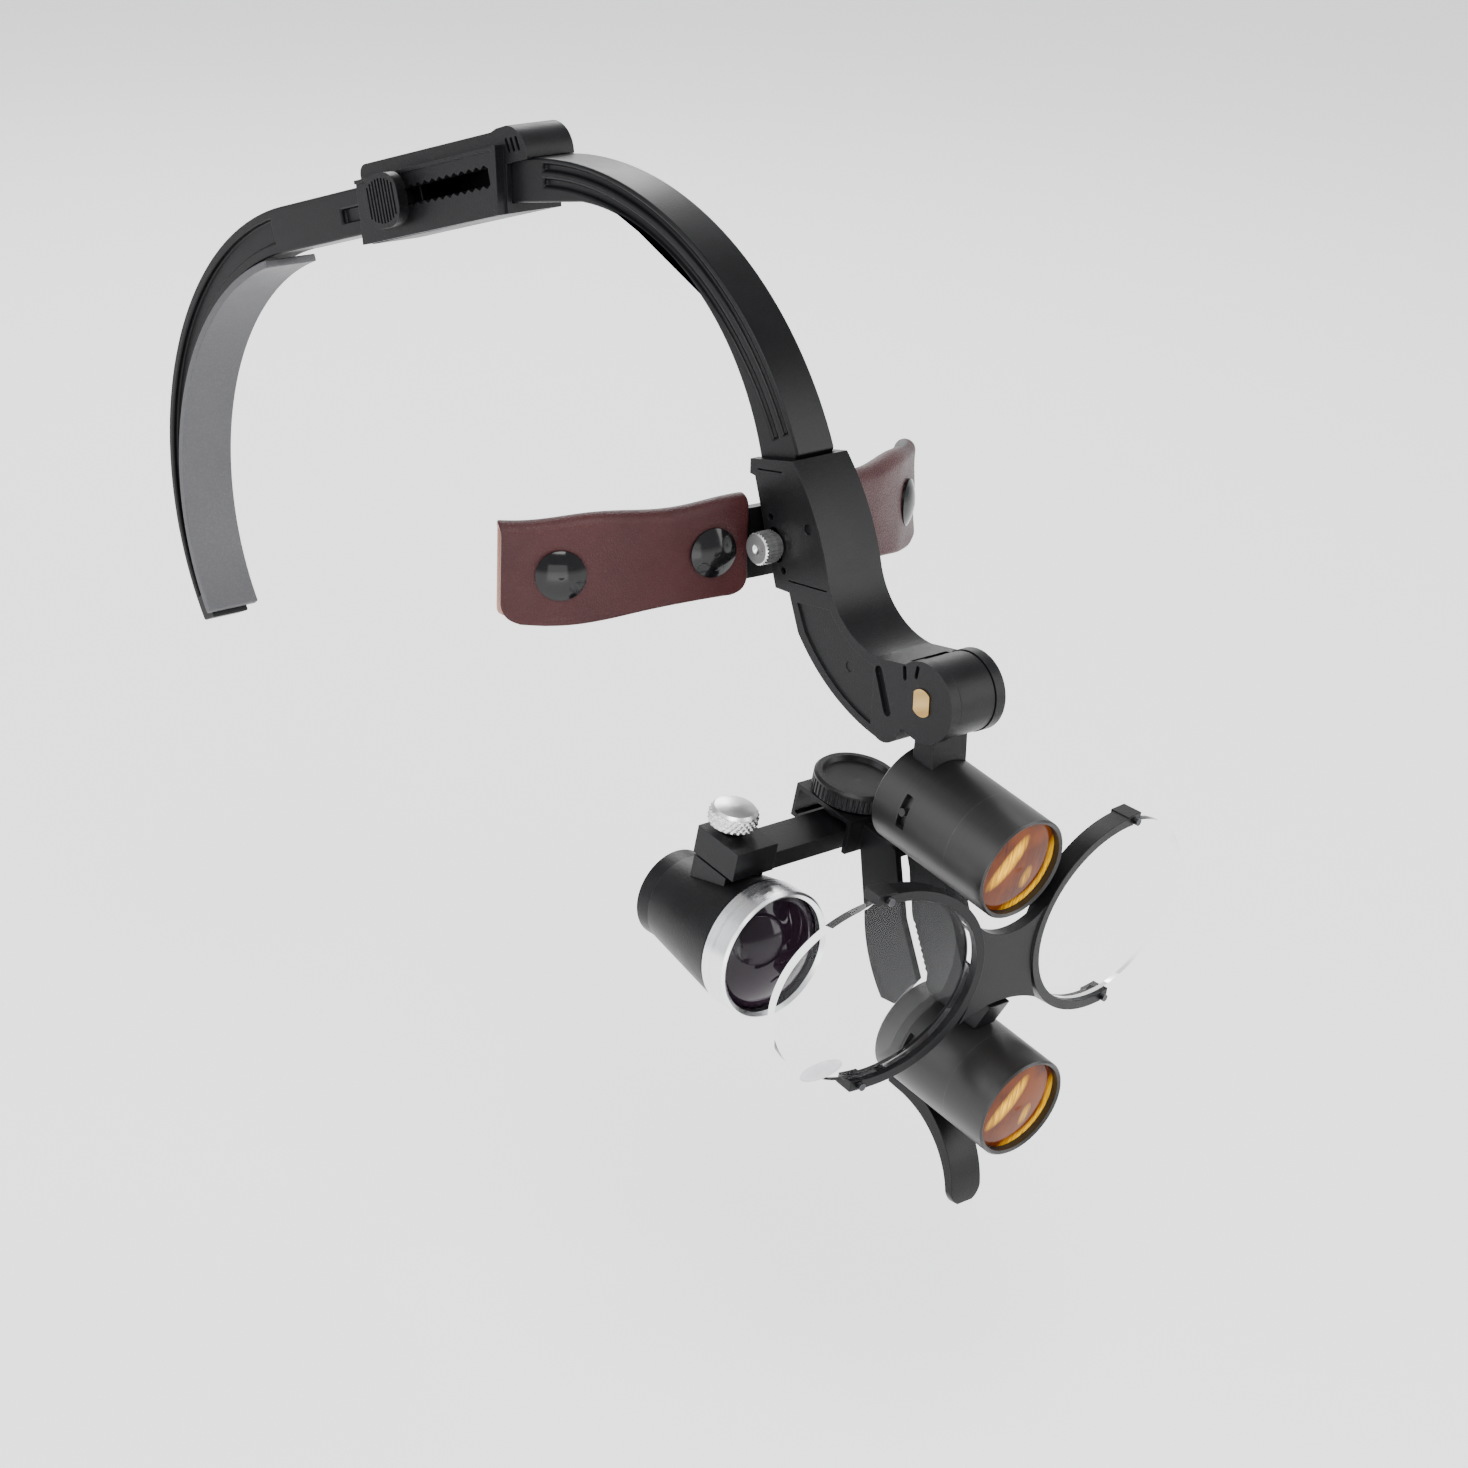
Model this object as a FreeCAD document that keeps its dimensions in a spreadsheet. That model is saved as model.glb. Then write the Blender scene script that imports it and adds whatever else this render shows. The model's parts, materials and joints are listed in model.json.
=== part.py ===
import FreeCAD
import Part
import Sketcher
import math
import os

# Head visor magnifier: an overhead band with a flip-up carrier for two stacked telescope barrels,
# a pair of clip lenses and one side loupe.  Millimetres.  +Z is up, -Y is the way the wearer faces,
# +X is the wearer's left.  The origin is the middle of the forehead bearing surface.

SIZES = {
    # band over the head
    "band_width": 10.0,
    "band_outer_radius": 77.3,
    "band_inner_radius": 56.9,
    "rear_radius": 70.0,
    "rear_width": 10.0,
    "rear_pad_width": 14.0,
    # crown housing
    "housing_slope": 17.8,
    "housing_width": 12.6,
    "housing_panel": 1.7,
    "housing_length": 50.0,
    "housing_height": 17.4,
    "tooth_pitch": 2.7,
    # front bracket and flip hinge
    "bracket_width": 14.4,
    "clevis_gap": 9.5,
    "knuckle_width": 9.2,
    "ear_radius": 8.1,
    "knuckle_radius": 7.9,
    "axle_radius": 2.75,
    "axle_flat": 4.2,
    "axle_length": 15.0,
    # forehead pad
    "forehead_radius": 79.0,
    "strip_width": 14.6,
    "sleeve_height": 19.6,
    "snap_radius": 5.0,
    "pad_screw_radius": 3.3,
    "pad_screw_head": 4.8,
    # barrels
    "barrel_tilt": 12.5,
    "barrel_radius": 10.75,
    "barrel_bore": 9.5,
    "barrel_length": 31.5,
    "bezel_length": 10.8,
    "sleeve_radius": 9.44,
    "sleeve_bore": 8.2,
    "focus_sleeve_length": 11.0,
    "focus_slot_width": 2.2,
    "focus_slot_angle": 38.0,
    "focus_pin_radius": 0.8,
    # channel, bar and knob
    "channel_width": 16.3,
    "channel_length": 16.0,
    "channel_height": 7.4,
    "sheet_thickness": 1.0,
    "knob_radius": 8.8,
    "knob_height": 4.6,
    "bar_depth": 8.5,
    "bar_height": 3.8,
    # side loupe
    "loupe_tilt": 5.5,
    "loupe_offset": 31.0,
    "loupe_front_radius": 13.4,
    "loupe_rear_radius": 9.2,
    "loupe_length": 31.0,
    "loupe_ring_length": 6.2,
    "loupe_lens_radius": 12.1,
    "thumb_radius": 4.6,
    "thumb_head": 3.9,
    # clip lenses
    "lens_tilt": 7.6,
    "lens_wrap": 5.7,
    "lens_half_width": 23.2,
    "lens_half_height": 19.0,
    "lens_offset": 32.0,
    "lens_thickness": 1.8,
    "lens_curve": 160.0,
    "rim_wall": 2.0,
    "rim_depth": 4.0,
    # handle
    "handle_width": 8.0,
}

HINGE = (-52.0, -19.0)
HOUSING_CORNER = (78.9, 51.2)
UPPER_FRONT = (-74.1, -47.8)
LOWER_FRONT = (-78.0, -96.5)
CHANNEL_AT = (-27.1, -47.0)
PAD_PIVOT = (-9.2, 1.5)
LENS_CENTRE = (-70.8, -66.2)
SLOT_LIFT = 12.0

X_AXIS = FreeCAD.Vector(1, 0, 0)
Y_AXIS = FreeCAD.Vector(0, 1, 0)
Z_AXIS = FreeCAD.Vector(0, 0, 1)

doc = FreeCAD.newDocument("HeadMagnifier")
sheet = doc.addObject("Spreadsheet::Sheet", "Sheet")
for row, (alias, value) in enumerate(SIZES.items(), start=1):
    sheet.set("A%d" % row, alias)
    sheet.set("B%d" % row, str(value))
    sheet.setAlias("B%d" % row, alias)
doc.recompute()

node_names = []


def vec(x, y, z):
    return FreeCAD.Vector(x, y, z)


def placed(x, y, z, axis=X_AXIS, degrees=0.0):
    return FreeCAD.Placement(vec(x, y, z), FreeCAD.Rotation(axis, degrees))


def keep(thing, node):
    """Name a finished sub-part; its label is its file name."""
    thing.Label = node
    node_names.append(thing)
    return thing


# ---------------------------------------------------------------- sketches and bodies


def new_body(name):
    return doc.addObject("PartDesign::Body", name)


def origin_plane(body, role):
    return next(item for item in body.Origin.OriginFeatures if item.Role == role)


def new_sketch(body, role, name):
    sketch = body.newObject("Sketcher::SketchObject", name)
    sketch.AttachmentSupport = (origin_plane(body, role), [""])
    sketch.MapMode = "FlatFace"
    return sketch


def draw_loop(sketch, steps):
    """Closed outline.  A step is a point, or (middle, end) for an arc through the middle point."""
    def flat(point):
        return vec(point[0], point[1], 0)

    def is_arc(step):
        return isinstance(step[0], tuple)

    start = steps[0]
    here = start
    first = sketch.GeometryCount
    for step in list(steps[1:]) + [start]:
        if is_arc(step):
            middle, end = step
            curve = Part.Arc(flat(here), flat(middle), flat(end))
        else:
            end = step
            if math.dist(here, end) < 1e-6:
                continue
            curve = Part.LineSegment(flat(here), flat(end))
        sketch.addGeometry(curve, False)
        here = end
    return first


def draw_circle(sketch, centre, radius, alias=None):
    circle = Part.Circle(vec(centre[0], centre[1], 0), Z_AXIS, radius)
    index = sketch.addGeometry(circle, False)
    if alias:
        number = sketch.addConstraint(Sketcher.Constraint("Radius", index, radius))
        sketch.setExpression("Constraints[%d]" % number, "Sheet." + alias)
    return index


def pad(body, sketch, length, name, midplane=True, reverse=False):
    """Extrude a sketch; length is an expression such as Sheet.band_width."""
    feature = body.newObject("PartDesign::Pad", name)
    feature.Profile = sketch
    feature.Midplane = midplane
    feature.Reversed = reverse
    feature.setExpression("Length", length)
    sketch.Visibility = False
    return feature


def pocket(body, sketch, length, name, midplane=True, reverse=False):
    feature = body.newObject("PartDesign::Pocket", name)
    feature.Profile = sketch
    feature.Type = 0
    feature.Midplane = midplane
    feature.Reversed = reverse
    feature.setExpression("Length", length)
    return feature


def side_body(name, outline, width):
    """A plate or block: an outline in the side plane (Y across, Z up), extruded about X = 0."""
    body = new_body(name)
    sketch = new_sketch(body, "YZ_Plane", name + "_outline")
    draw_loop(sketch, outline)
    pad(body, sketch, width, name + "_pad")
    return body


def side_pocket(body, tag, loops, length, midplane=True):
    sketch = new_sketch(body, "YZ_Plane", tag + "_sketch")
    for loop in loops:
        draw_loop(sketch, loop)
    return pocket(body, sketch, length, tag, midplane)


def side_recess(body, tag, loops, width, depth):
    """The same shallow recess in both side faces of a body that is `width` wide."""
    for side, sign in (("right", -1), ("left", 1)):
        sketch = new_sketch(body, "YZ_Plane", "%s_%s" % (tag, side))
        sketch.AttachmentOffset = placed(0, 0, sign * width / 2)
        for loop in loops:
            draw_loop(sketch, loop)
        pocket(body, sketch, str(depth), "%s_%s_cut" % (tag, side), False, sign < 0)


def turned(name, profile, bound=()):
    """A turned piece: profile points are (radius, distance along +Y)."""
    body = new_body(name)
    sketch = new_sketch(body, "XY_Plane", name + "_profile")
    draw_loop(sketch, profile)
    for edge, end, alias in bound:
        number = sketch.addConstraint(
            Sketcher.Constraint("DistanceX", -1, 1, edge, end, SIZES[alias]))
        sketch.setExpression("Constraints[%d]" % number, "Sheet." + alias)
    feature = body.newObject("PartDesign::Revolution", name + "_turn")
    feature.Profile = sketch
    feature.ReferenceAxis = (sketch, ["V_Axis"])
    feature.Angle = 360
    sketch.Visibility = False
    return body


def dome(radius, edge, top, ends_on_axis=True):
    """Profile step for a spherical cap centred on the turning axis, from its edge to its top or back."""
    rise = abs(top - edge)
    ball = (radius ** 2 + rise ** 2) / (2 * rise)
    sink = ball - math.sqrt(ball ** 2 - (radius / 2) ** 2)
    middle = top - sink if top > edge else top + sink
    end = (0, top) if ends_on_axis else (radius, edge)
    return ((radius / 2, middle), end)


def cylinder(name, radius, height, place):
    """Radius and height are expressions or numbers."""
    thing = doc.addObject("Part::Cylinder", name)
    thing.setExpression("Radius", str(radius))
    thing.setExpression("Height", str(height))
    thing.Placement = place
    return thing


def block(name, low, high):
    """A box from its lowest corner to its highest corner."""
    thing = doc.addObject("Part::Box", name)
    thing.Length = high[0] - low[0]
    thing.Width = high[1] - low[1]
    thing.Height = high[2] - low[2]
    thing.Placement = placed(*low)
    return thing


def cut(name, base, tool):
    thing = doc.addObject("Part::Cut", name)
    thing.Base = base
    thing.Tool = tool
    return thing


def fuse(name, shapes):
    thing = doc.addObject("Part::MultiFuse", name)
    thing.Shapes = shapes
    return thing


def group(name, shapes):
    thing = doc.addObject("Part::Compound", name)
    thing.Links = shapes
    return thing


# ---------------------------------------------------------------- housing, band and bracket

slope = math.radians(SIZES["housing_slope"])


def on_slope(along, above):
    """A point of the side plane from its place along and above the housing's underside."""
    y = HOUSING_CORNER[0] + along * math.cos(slope) + above * math.sin(slope)
    z = HOUSING_CORNER[1] - along * math.sin(slope) + above * math.cos(slope)
    return (y, z)


def circle_point(centre, radius, degrees):
    angle = math.radians(degrees)
    return (centre[0] + radius * math.cos(angle), centre[1] + radius * math.sin(angle))


BAND_CENTRE = (58.3, -12.0)
BAND_INNER_CENTRE = (53.1, 0.8)
SLOT_HEIGHT = 8.3
BUTTON_ALONG = 36.0


def make_front_band():
    outer = SIZES["band_outer_radius"]
    inner = SIZES["band_inner_radius"]
    outline = [
        on_slope(3.0, 13.2),
        on_slope(1.0, 13.2),
        circle_point(BAND_CENTRE, outer, 75),
        (circle_point(BAND_CENTRE, outer, 115), circle_point(BAND_CENTRE, outer, 155.5)),
        (-9.0, 13.2),
        (-0.9, 11.8),
        circle_point(BAND_INNER_CENTRE, inner, 164),
        (circle_point(BAND_INNER_CENTRE, inner, 125), circle_point(BAND_INNER_CENTRE, inner, 87)),
        on_slope(-1.6, 2.0),
        on_slope(3.0, 2.0),
    ]
    body = side_body("FrontBand", outline, "Sheet.band_width")
    # two long grooves in each side leave a stiff I-shaped section
    grooves = []
    for low, high in ((-2.7, -1.2), (-5.9, -4.3)):
        grooves.append([
            circle_point(BAND_CENTRE, outer + high, 82),
            (circle_point(BAND_CENTRE, outer + high, 112),
             circle_point(BAND_CENTRE, outer + high, 152)),
            circle_point(BAND_CENTRE, outer + low, 152),
            (circle_point(BAND_CENTRE, outer + low, 112),
             circle_point(BAND_CENTRE, outer + low, 82)),
        ])
    side_recess(body, "BandGroove", grooves, SIZES["band_width"], 1.1)
    return keep(body, "front_band")


def slot_loop(front, back, half_tip, half_root, pitch):
    """The slot of the size adjuster: saw teeth along both long edges."""
    count = int((back - front) / pitch)
    lower = []
    upper = []
    for number in range(count):
        start = front + number * pitch
        upper.append(on_slope(start, SLOT_HEIGHT + half_tip))
        upper.append(on_slope(start + pitch / 2, SLOT_HEIGHT + half_root))
        lower.append(on_slope(start, SLOT_HEIGHT - half_tip))
        lower.append(on_slope(start + pitch / 2, SLOT_HEIGHT - half_root))
    upper.append(on_slope(back, SLOT_HEIGHT + half_tip))
    lower.append(on_slope(back, SLOT_HEIGHT - half_tip))
    return upper + lower[::-1]


def make_housing():
    length = SIZES["housing_length"]
    height = SIZES["housing_height"]
    outline = [
        on_slope(-0.5, 0),
        on_slope(length, 0),
        on_slope(length, height - 2.5),
        (on_slope(length - 0.7, height - 0.7), on_slope(length - 2.5, height)),
        on_slope(0.5, height - 0.2),
        on_slope(-1.5, height + 0.3),
        on_slope(-5.0, height + 0.4),
        (on_slope(-8.4, height - 1.2), on_slope(-10.2, height - 7.3)),
        on_slope(-3.0, height - 7.3),
    ]
    body = side_body("Housing", outline, "Sheet.housing_width")
    panel = new_sketch(body, "YZ_Plane", "Panel_outline")
    draw_loop(panel, [on_slope(0, 0), on_slope(51.4, 0.2), on_slope(49.8, 14.2), on_slope(-3.0, 14.2)])
    pad(body, panel, "Sheet.housing_width + 2 * Sheet.housing_panel + 0.9", "Panel")
    # the panel face is lowered inside a raised border at its front
    field = [[on_slope(1.6, -1), on_slope(53, -1), on_slope(53, 13.4), on_slope(-1.2, 13.4)]]
    width = SIZES["housing_width"] + 2 * SIZES["housing_panel"] + 0.9
    side_recess(body, "PanelField", field, width, 0.45)
    # inside: the tongue's tunnel, open at the rear, and the front band's seat
    tunnel = [on_slope(6.0, 2.1), on_slope(60, 2.1), on_slope(60, 13.5), on_slope(6.0, 13.5)]
    seat = [
        on_slope(-14.0, 1.95),
        on_slope(3.0, 1.95),
        on_slope(3.0, 13.25),
        on_slope(1.0, 13.25),
        on_slope(-4.0, 10.88),
        on_slope(-8.0, 10.6),
        on_slope(-14.0, 9.8),
    ]
    side_pocket(body, "Tunnel", [tunnel], "Sheet.rear_width + 0.5")
    side_pocket(body, "BandSeat", [seat], "Sheet.band_width + 0.1")
    # the toothed slot opens on the wearer's right only; a small window lies by its front end
    teeth = slot_loop(1.4, 44.6, 1.7, 2.5, SIZES["tooth_pitch"])
    side_pocket(body, "ToothedSlot", [teeth], "Sheet.housing_width", False)
    side_pocket(body, "Window", [slope_box(4.4, SLOT_HEIGHT, 0.8, 1.7)], "Sheet.housing_width + 8")
    # three short finger grooves in each side of the rounded front
    grips = []
    for along in (-4.7, -6.4, -8.1):
        low, high = on_slope(along, 12.2), on_slope(along + 0.5, 15.2)
        centre = ((low[0] + high[0]) / 2, (low[1] + high[1]) / 2)
        grips.append(rounded_slot(centre, (high[0] - low[0], high[1] - low[1]), 1.6, 0.45))
    side_recess(body, "Grips", grips, SIZES["housing_width"], 1.0)
    return keep(body, "crown_housing")


def make_bracket():
    hinge_z = HINGE[1]
    ear = SIZES["ear_radius"]
    outline = [
        (-0.9, 17.2),
        (-13.2, 19.4),
        ((-20.3, 9.3), (-24.6, -1.7)),
        ((-29.6, -9.3), (-39.5, -13.4)),
        circle_point(HINGE, ear, 52),
        (circle_point(HINGE, ear, 180), circle_point(HINGE, ear, 300)),
        (-46.6, -25.9),
        (-45.2, -28.6),
        (-43.9, -29.4),
        ((-42.0, -30.0), (-39.8, -29.5)),
        ((-26.3, -23.6), (-16.6, -14.6)),
        (-13.6, -7.2),
        (-9.6, -7.2),
        (-2.4, 14.0),
        (-0.9, 14.2),
    ]
    body = side_body("Bracket", outline, "Sheet.bracket_width")
    seat = [(-9.0, 13.2), (-0.9, 11.8), (6.0, 24.0), (-16.0, 26.0)]
    clevis = [
        circle_point(HINGE, ear + 0.7, 95),
        (circle_point(HINGE, ear + 0.7, 20), circle_point(HINGE, ear + 0.7, -50)),
        (-46.5, -34.0),
        (-66.0, -34.0),
        (-66.0, hinge_z + 12.0),
        (-53.0, hinge_z + 12.0),
    ]
    side_pocket(body, "Clevis", [clevis], "Sheet.clevis_gap")
    # the band's lower end sits in the top; the pad's stem slides in the back
    side_pocket(body, "LowerSeat", [seat], "Sheet.band_width + 0.1")
    stem = [(2.0, 10.8), (-9.2, 10.4), (-14.2, -6.0), (-3.0, -6.4)]
    side_pocket(body, "StemPocket", [stem], "Sheet.band_width + 0.4")
    axle = new_sketch(body, "YZ_Plane", "AxleHole_sketch")
    draw_loop(axle, double_flat(HINGE, SIZES["axle_radius"] + 0.02, SIZES["axle_flat"] / 2 + 0.02))
    pocket(body, axle, "Sheet.bracket_width + 2", "AxleHole")
    slot_dir = math.radians(72.8)
    along = (math.cos(slot_dir), math.sin(slot_dir))
    side_pocket(body, "ScrewSlot", [rounded_slot(PAD_PIVOT, along, 3.6, 1.5)],
                "Sheet.bracket_width + 2")
    holes = new_sketch(body, "YZ_Plane", "SmallHoles_sketch")
    for centre in ((-7.4, 6.8), (-11.7, -3.2)):
        draw_circle(holes, centre, 0.75)
    pocket(body, holes, "Sheet.bracket_width + 2", "SmallHoles")
    # shallow field inside a raised border, a drain slot and two witness marks by the hinge
    field = [
        (-25.4, -7.6),
        ((-31.5, -13.0), (-38.5, -15.4)),
        (-38.2, -27.4),
        ((-27.6, -22.4), (-18.6, -14.0)),
        (-16.0, -8.6),
    ]
    side_recess(body, "BorderField", [field], SIZES["bracket_width"], 0.45)
    marks = [
        rounded_slot((-41.2, -19.7), (0.35, 0.94), 5.0, 1.0),
        rounded_slot((-46.9, -14.4), (0.1, 0.99), 1.5, 0.5),
        rounded_slot((-50.2, -13.4), (-0.2, 0.98), 1.4, 0.45),
    ]
    side_recess(body, "SideMarks", marks, SIZES["bracket_width"], 0.9)
    # fine mould lines and two round ejector marks
    lines = [
        rounded_slot((-18.8, -4.5), (-1.0, 0.06), 5.6, 0.16),
        rounded_slot((-6.6, 16.0), (-1.0, 0.13), 3.6, 0.16),
        round_loop((-18.3, 6.9), 1.1),
        round_loop((-31.3, -17.6), 1.1),
    ]
    side_recess(body, "MouldMarks", lines, SIZES["bracket_width"], 0.62)
    return keep(body, "front_bracket")


def round_loop(centre, radius):
    y, z = centre
    return [
        (y - radius, z),
        ((y, z + radius), (y + radius, z)),
        ((y, z - radius), (y - radius, z)),
    ]


def rounded_slot(centre, along, half_length, radius):
    """Outline of a straight slot with round ends."""
    size = math.hypot(*along)
    ax, ay = along[0] / size, along[1] / size
    nx, ny = -ay, ax
    straight = half_length - radius

    def at(forward, side):
        return (centre[0] + ax * forward + nx * side, centre[1] + ay * forward + ny * side)

    return [
        at(-straight, radius),
        at(straight, radius),
        (at(half_length, 0), at(straight, -radius)),
        at(-straight, -radius),
        (at(-half_length, 0), at(-straight, radius)),
    ]


def double_flat(centre, radius, half_flat):
    """A round with two upright flats."""
    rise = math.sqrt(radius ** 2 - half_flat ** 2)
    y, z = centre
    return [
        (y - half_flat, z - rise),
        (y - half_flat, z + rise),
        ((y, z + radius), (y + half_flat, z + rise)),
        (y + half_flat, z - rise),
        ((y, z - radius), (y - half_flat, z - rise)),
    ]


def make_hinge_parts():
    outline = double_flat(HINGE, SIZES["axle_radius"], SIZES["axle_flat"] / 2)
    keep(side_body("Axle", outline, "Sheet.axle_length"), "hinge_axle")
    washers = []
    for side, low in (("Right", -SIZES["clevis_gap"] / 2), ("Left", SIZES["clevis_gap"] / 2 - 0.5)):
        ring = cylinder("Washer%s" % side, "Sheet.ear_radius - 1.0", 0.45,
                        placed(low, HINGE[0], HINGE[1], Y_AXIS, 90))
        hole = cylinder("WasherHole%s" % side, "Sheet.axle_radius + 0.06", 2.0,
                        placed(low - 0.8, HINGE[0], HINGE[1], Y_AXIS, 90))
        washers.append(cut("WasherRing%s" % side, ring, hole))
    keep(group("Washers", washers), "hinge_washers")


# ---------------------------------------------------------------- rear band


def rear_arc(radius, degrees):
    centre = rear_centre()
    return circle_point(centre, radius, degrees)


def rear_centre():
    y, z = on_slope(86.0, 13.0)
    radius = SIZES["rear_radius"]
    return (y - radius * math.sin(slope), z - radius * math.cos(slope))


def make_rear_band():
    radius = SIZES["rear_radius"]
    top = 90.0 - SIZES["housing_slope"]
    outline = [
        on_slope(30.5, 2.6),
        on_slope(30.5, 13.0),
        on_slope(86.0, 13.0),
        (rear_arc(radius, 18), rear_arc(radius, -37)),
        rear_arc(radius - 5.0, -38),
        (rear_arc(radius - 7.6, 18), on_slope(86.0, 2.6)),
    ]
    body = side_body("RearBand", outline, "Sheet.rear_width")
    groove = [
        rear_arc(radius - 2.2, top - 4),
        (rear_arc(radius - 2.0, 20), rear_arc(radius - 1.6, -32)),
        rear_arc(radius - 3.6, -32),
        (rear_arc(radius - 5.8, 20), rear_arc(radius - 7.6, top - 4)),
    ]
    catch = [on_slope(54.5, 5.8), on_slope(62.0, 5.8), on_slope(62.0, 9.0), on_slope(54.5, 9.0)]
    side_recess(body, "RearGroove", [groove, catch], SIZES["rear_width"], 1.3)
    hole = new_sketch(body, "YZ_Plane", "ButtonHole_sketch")
    draw_loop(hole, slope_box(BUTTON_ALONG, SLOT_HEIGHT, 2.5, 1.6))
    pocket(body, hole, "Sheet.rear_width + 2", "ButtonHole")
    return keep(body, "rear_band")


def slope_box(along, above, half_length, half_height):
    return [
        on_slope(along - half_length, above - half_height),
        on_slope(along + half_length, above - half_height),
        on_slope(along + half_length, above + half_height),
        on_slope(along - half_length, above + half_height),
    ]


def make_rear_pad():
    radius = SIZES["rear_radius"]
    outline = [
        rear_arc(radius - 10.8, 65.5),
        (rear_arc(radius - 8.4, 18), rear_arc(radius - 5.5, -37)),
        rear_arc(radius - 7.4, -37),
        (rear_arc(radius - 10.3, 18), rear_arc(radius - 12.6, 65.5)),
    ]
    return keep(side_body("RearPad", outline, "Sheet.rear_pad_width"), "rear_pad")


def make_button():
    """Ribbed push button on the wearer's right; its neck runs through the toothed slot."""
    face = SIZES["housing_width"] / 2 + SIZES["housing_panel"] + 1.4
    body = new_body("Button")
    sketch = new_sketch(body, "YZ_Plane", "Button_outline")
    sketch.AttachmentOffset = placed(0, 0, -face)
    corner = 4.4
    half_length, half_height = 6.2, 5.9
    sketch_outline = rounded_box(BUTTON_ALONG, SLOT_HEIGHT, half_length, half_height, corner)
    draw_loop(sketch, sketch_outline)
    pad(body, sketch, "2.4", "Cap", False, True)
    neck = new_sketch(body, "YZ_Plane", "Neck_outline")
    neck.AttachmentOffset = placed(0, 0, -face - 0.4)
    draw_loop(neck, slope_box(BUTTON_ALONG, SLOT_HEIGHT, 2.3, 1.4))
    pad(body, neck, "%.2f" % (face + 0.4 - 1.5), "Neck", False, False)
    grooves = new_sketch(body, "YZ_Plane", "Ribs_sketch")
    grooves.AttachmentOffset = placed(0, 0, -face - 2.4)
    for number in range(9):
        along = BUTTON_ALONG + (number - 4) * 1.15
        reach = 4.9 - 0.09 * (number - 4) ** 2
        draw_loop(grooves, slope_box(along, SLOT_HEIGHT, 0.3, reach))
    pocket(body, grooves, "0.5", "Ribs", False, True)
    return keep(body, "lock_button")


def rounded_box(along, above, half_length, half_height, corner):
    def at(dx, dz):
        return on_slope(along + dx, above + dz)

    k = corner * (1 - math.sqrt(0.5))
    x, z = half_length, half_height
    return [
        at(-x + corner, -z),
        at(x - corner, -z),
        (at(x - k, -z + k), at(x, -z + corner)),
        at(x, z - corner),
        (at(x - k, z - k), at(x - corner, z)),
        at(-x + corner, z),
        (at(-x + k, z - k), at(-x, z - corner)),
        at(-x, -z + corner),
        (at(-x + k, -z + k), at(-x + corner, -z)),
    ]


# ---------------------------------------------------------------- forehead pad


def arc_strip(name, radius_in, radius_out, from_degrees, to_degrees, height, lift):
    """A curved strip about the head's upright axis; degrees count from straight ahead."""
    centre = (0.0, SIZES["forehead_radius"])
    start, end = from_degrees - 90, to_degrees - 90
    middle = (start + end) / 2
    body = new_body(name)
    sketch = new_sketch(body, "XY_Plane", name + "_outline")
    sketch.AttachmentOffset = placed(0, 0, lift)
    draw_loop(sketch, [
        circle_point(centre, radius_out, start),
        (circle_point(centre, radius_out, middle), circle_point(centre, radius_out, end)),
        circle_point(centre, radius_in, end),
        (circle_point(centre, radius_in, middle), circle_point(centre, radius_in, start)),
    ])
    pad(body, sketch, height, name + "_pad")
    return body


STRIP_IN, STRIP_OUT = 80.2, 82.2


def make_pad():
    strip = arc_strip("Strip", STRIP_IN, STRIP_OUT, -39, 39, "Sheet.strip_width", 0.4)
    stem = [(-1.6, 6.0), (-8.6, 6.0), (-12.0, -3.0), (-2.2, -4.0)]
    stem_body = side_body("Stem", stem, "Sheet.band_width")
    bore = cylinder("StemBore", 1.42, 20, placed(-10, PAD_PIVOT[0], PAD_PIVOT[1], Y_AXIS, 90))
    solid = fuse("StripAndStem", [strip, stem_body])
    keep(cut("PadStrip", solid, bore), "pad_strip")
    for side, sign in (("right", -1), ("left", 1)):
        ends = sorted((sign * 6.6, sign * 42.0))
        inner = sorted((sign * 5.0, sign * 39.3))
        shell = arc_strip("Leather_" + side, STRIP_IN - 1.2, STRIP_OUT + 1.6, ends[0], ends[1],
                          "Sheet.sleeve_height", 0.2)
        hollow = arc_strip("LeatherHollow_" + side, STRIP_IN - 0.1, STRIP_OUT + 0.1,
                           inner[0], inner[1], "Sheet.strip_width + 0.3", 0.4)
        keep(cut("Sleeve_" + side, shell, hollow), side + "_sleeve")
    caps = []
    places = ((-33.6, -2.3), (-12.4, 0.3), (12.4, 0.3), (33.6, -3.4))
    for number, (degrees, height) in enumerate(places):
        cap = turned("Snap%d" % number, [(0, 0), (SIZES["snap_radius"], 0),
                                         (SIZES["snap_radius"], -0.5),
                                         dome(SIZES["snap_radius"], -0.5, -1.7)])
        turn = math.radians(degrees)
        reach = STRIP_OUT + 1.65
        cap.Placement = placed(reach * math.sin(turn), SIZES["forehead_radius"] - reach * math.cos(turn),
                               height, Z_AXIS, degrees)
        caps.append(cap)
    keep(group("Snaps", caps), "snap_caps")


def make_pad_screw():
    """Side thumbscrew with a straight knurl; its shank clamps the pad's stem."""
    start = SIZES["bracket_width"] / 2 + 0.35
    radius = SIZES["pad_screw_radius"]
    head = SIZES["pad_screw_head"]
    body = turned("PadScrew", [
        (0, -4.2), (1.3, -4.2), (1.3, 0.0), (radius - 0.6, 0.0), (radius - 0.6, 0.8),
        (radius, 0.8), (radius, head - 0.4), (radius - 0.4, head), (1.0, head), (0, head - 0.5),
    ])
    knurl(body, radius, head, 28, 0.32)
    body.Placement = placed(-start, PAD_PIVOT[0], PAD_PIVOT[1], Z_AXIS, 90)
    keep(body, "pad_thumbscrew")


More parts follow.
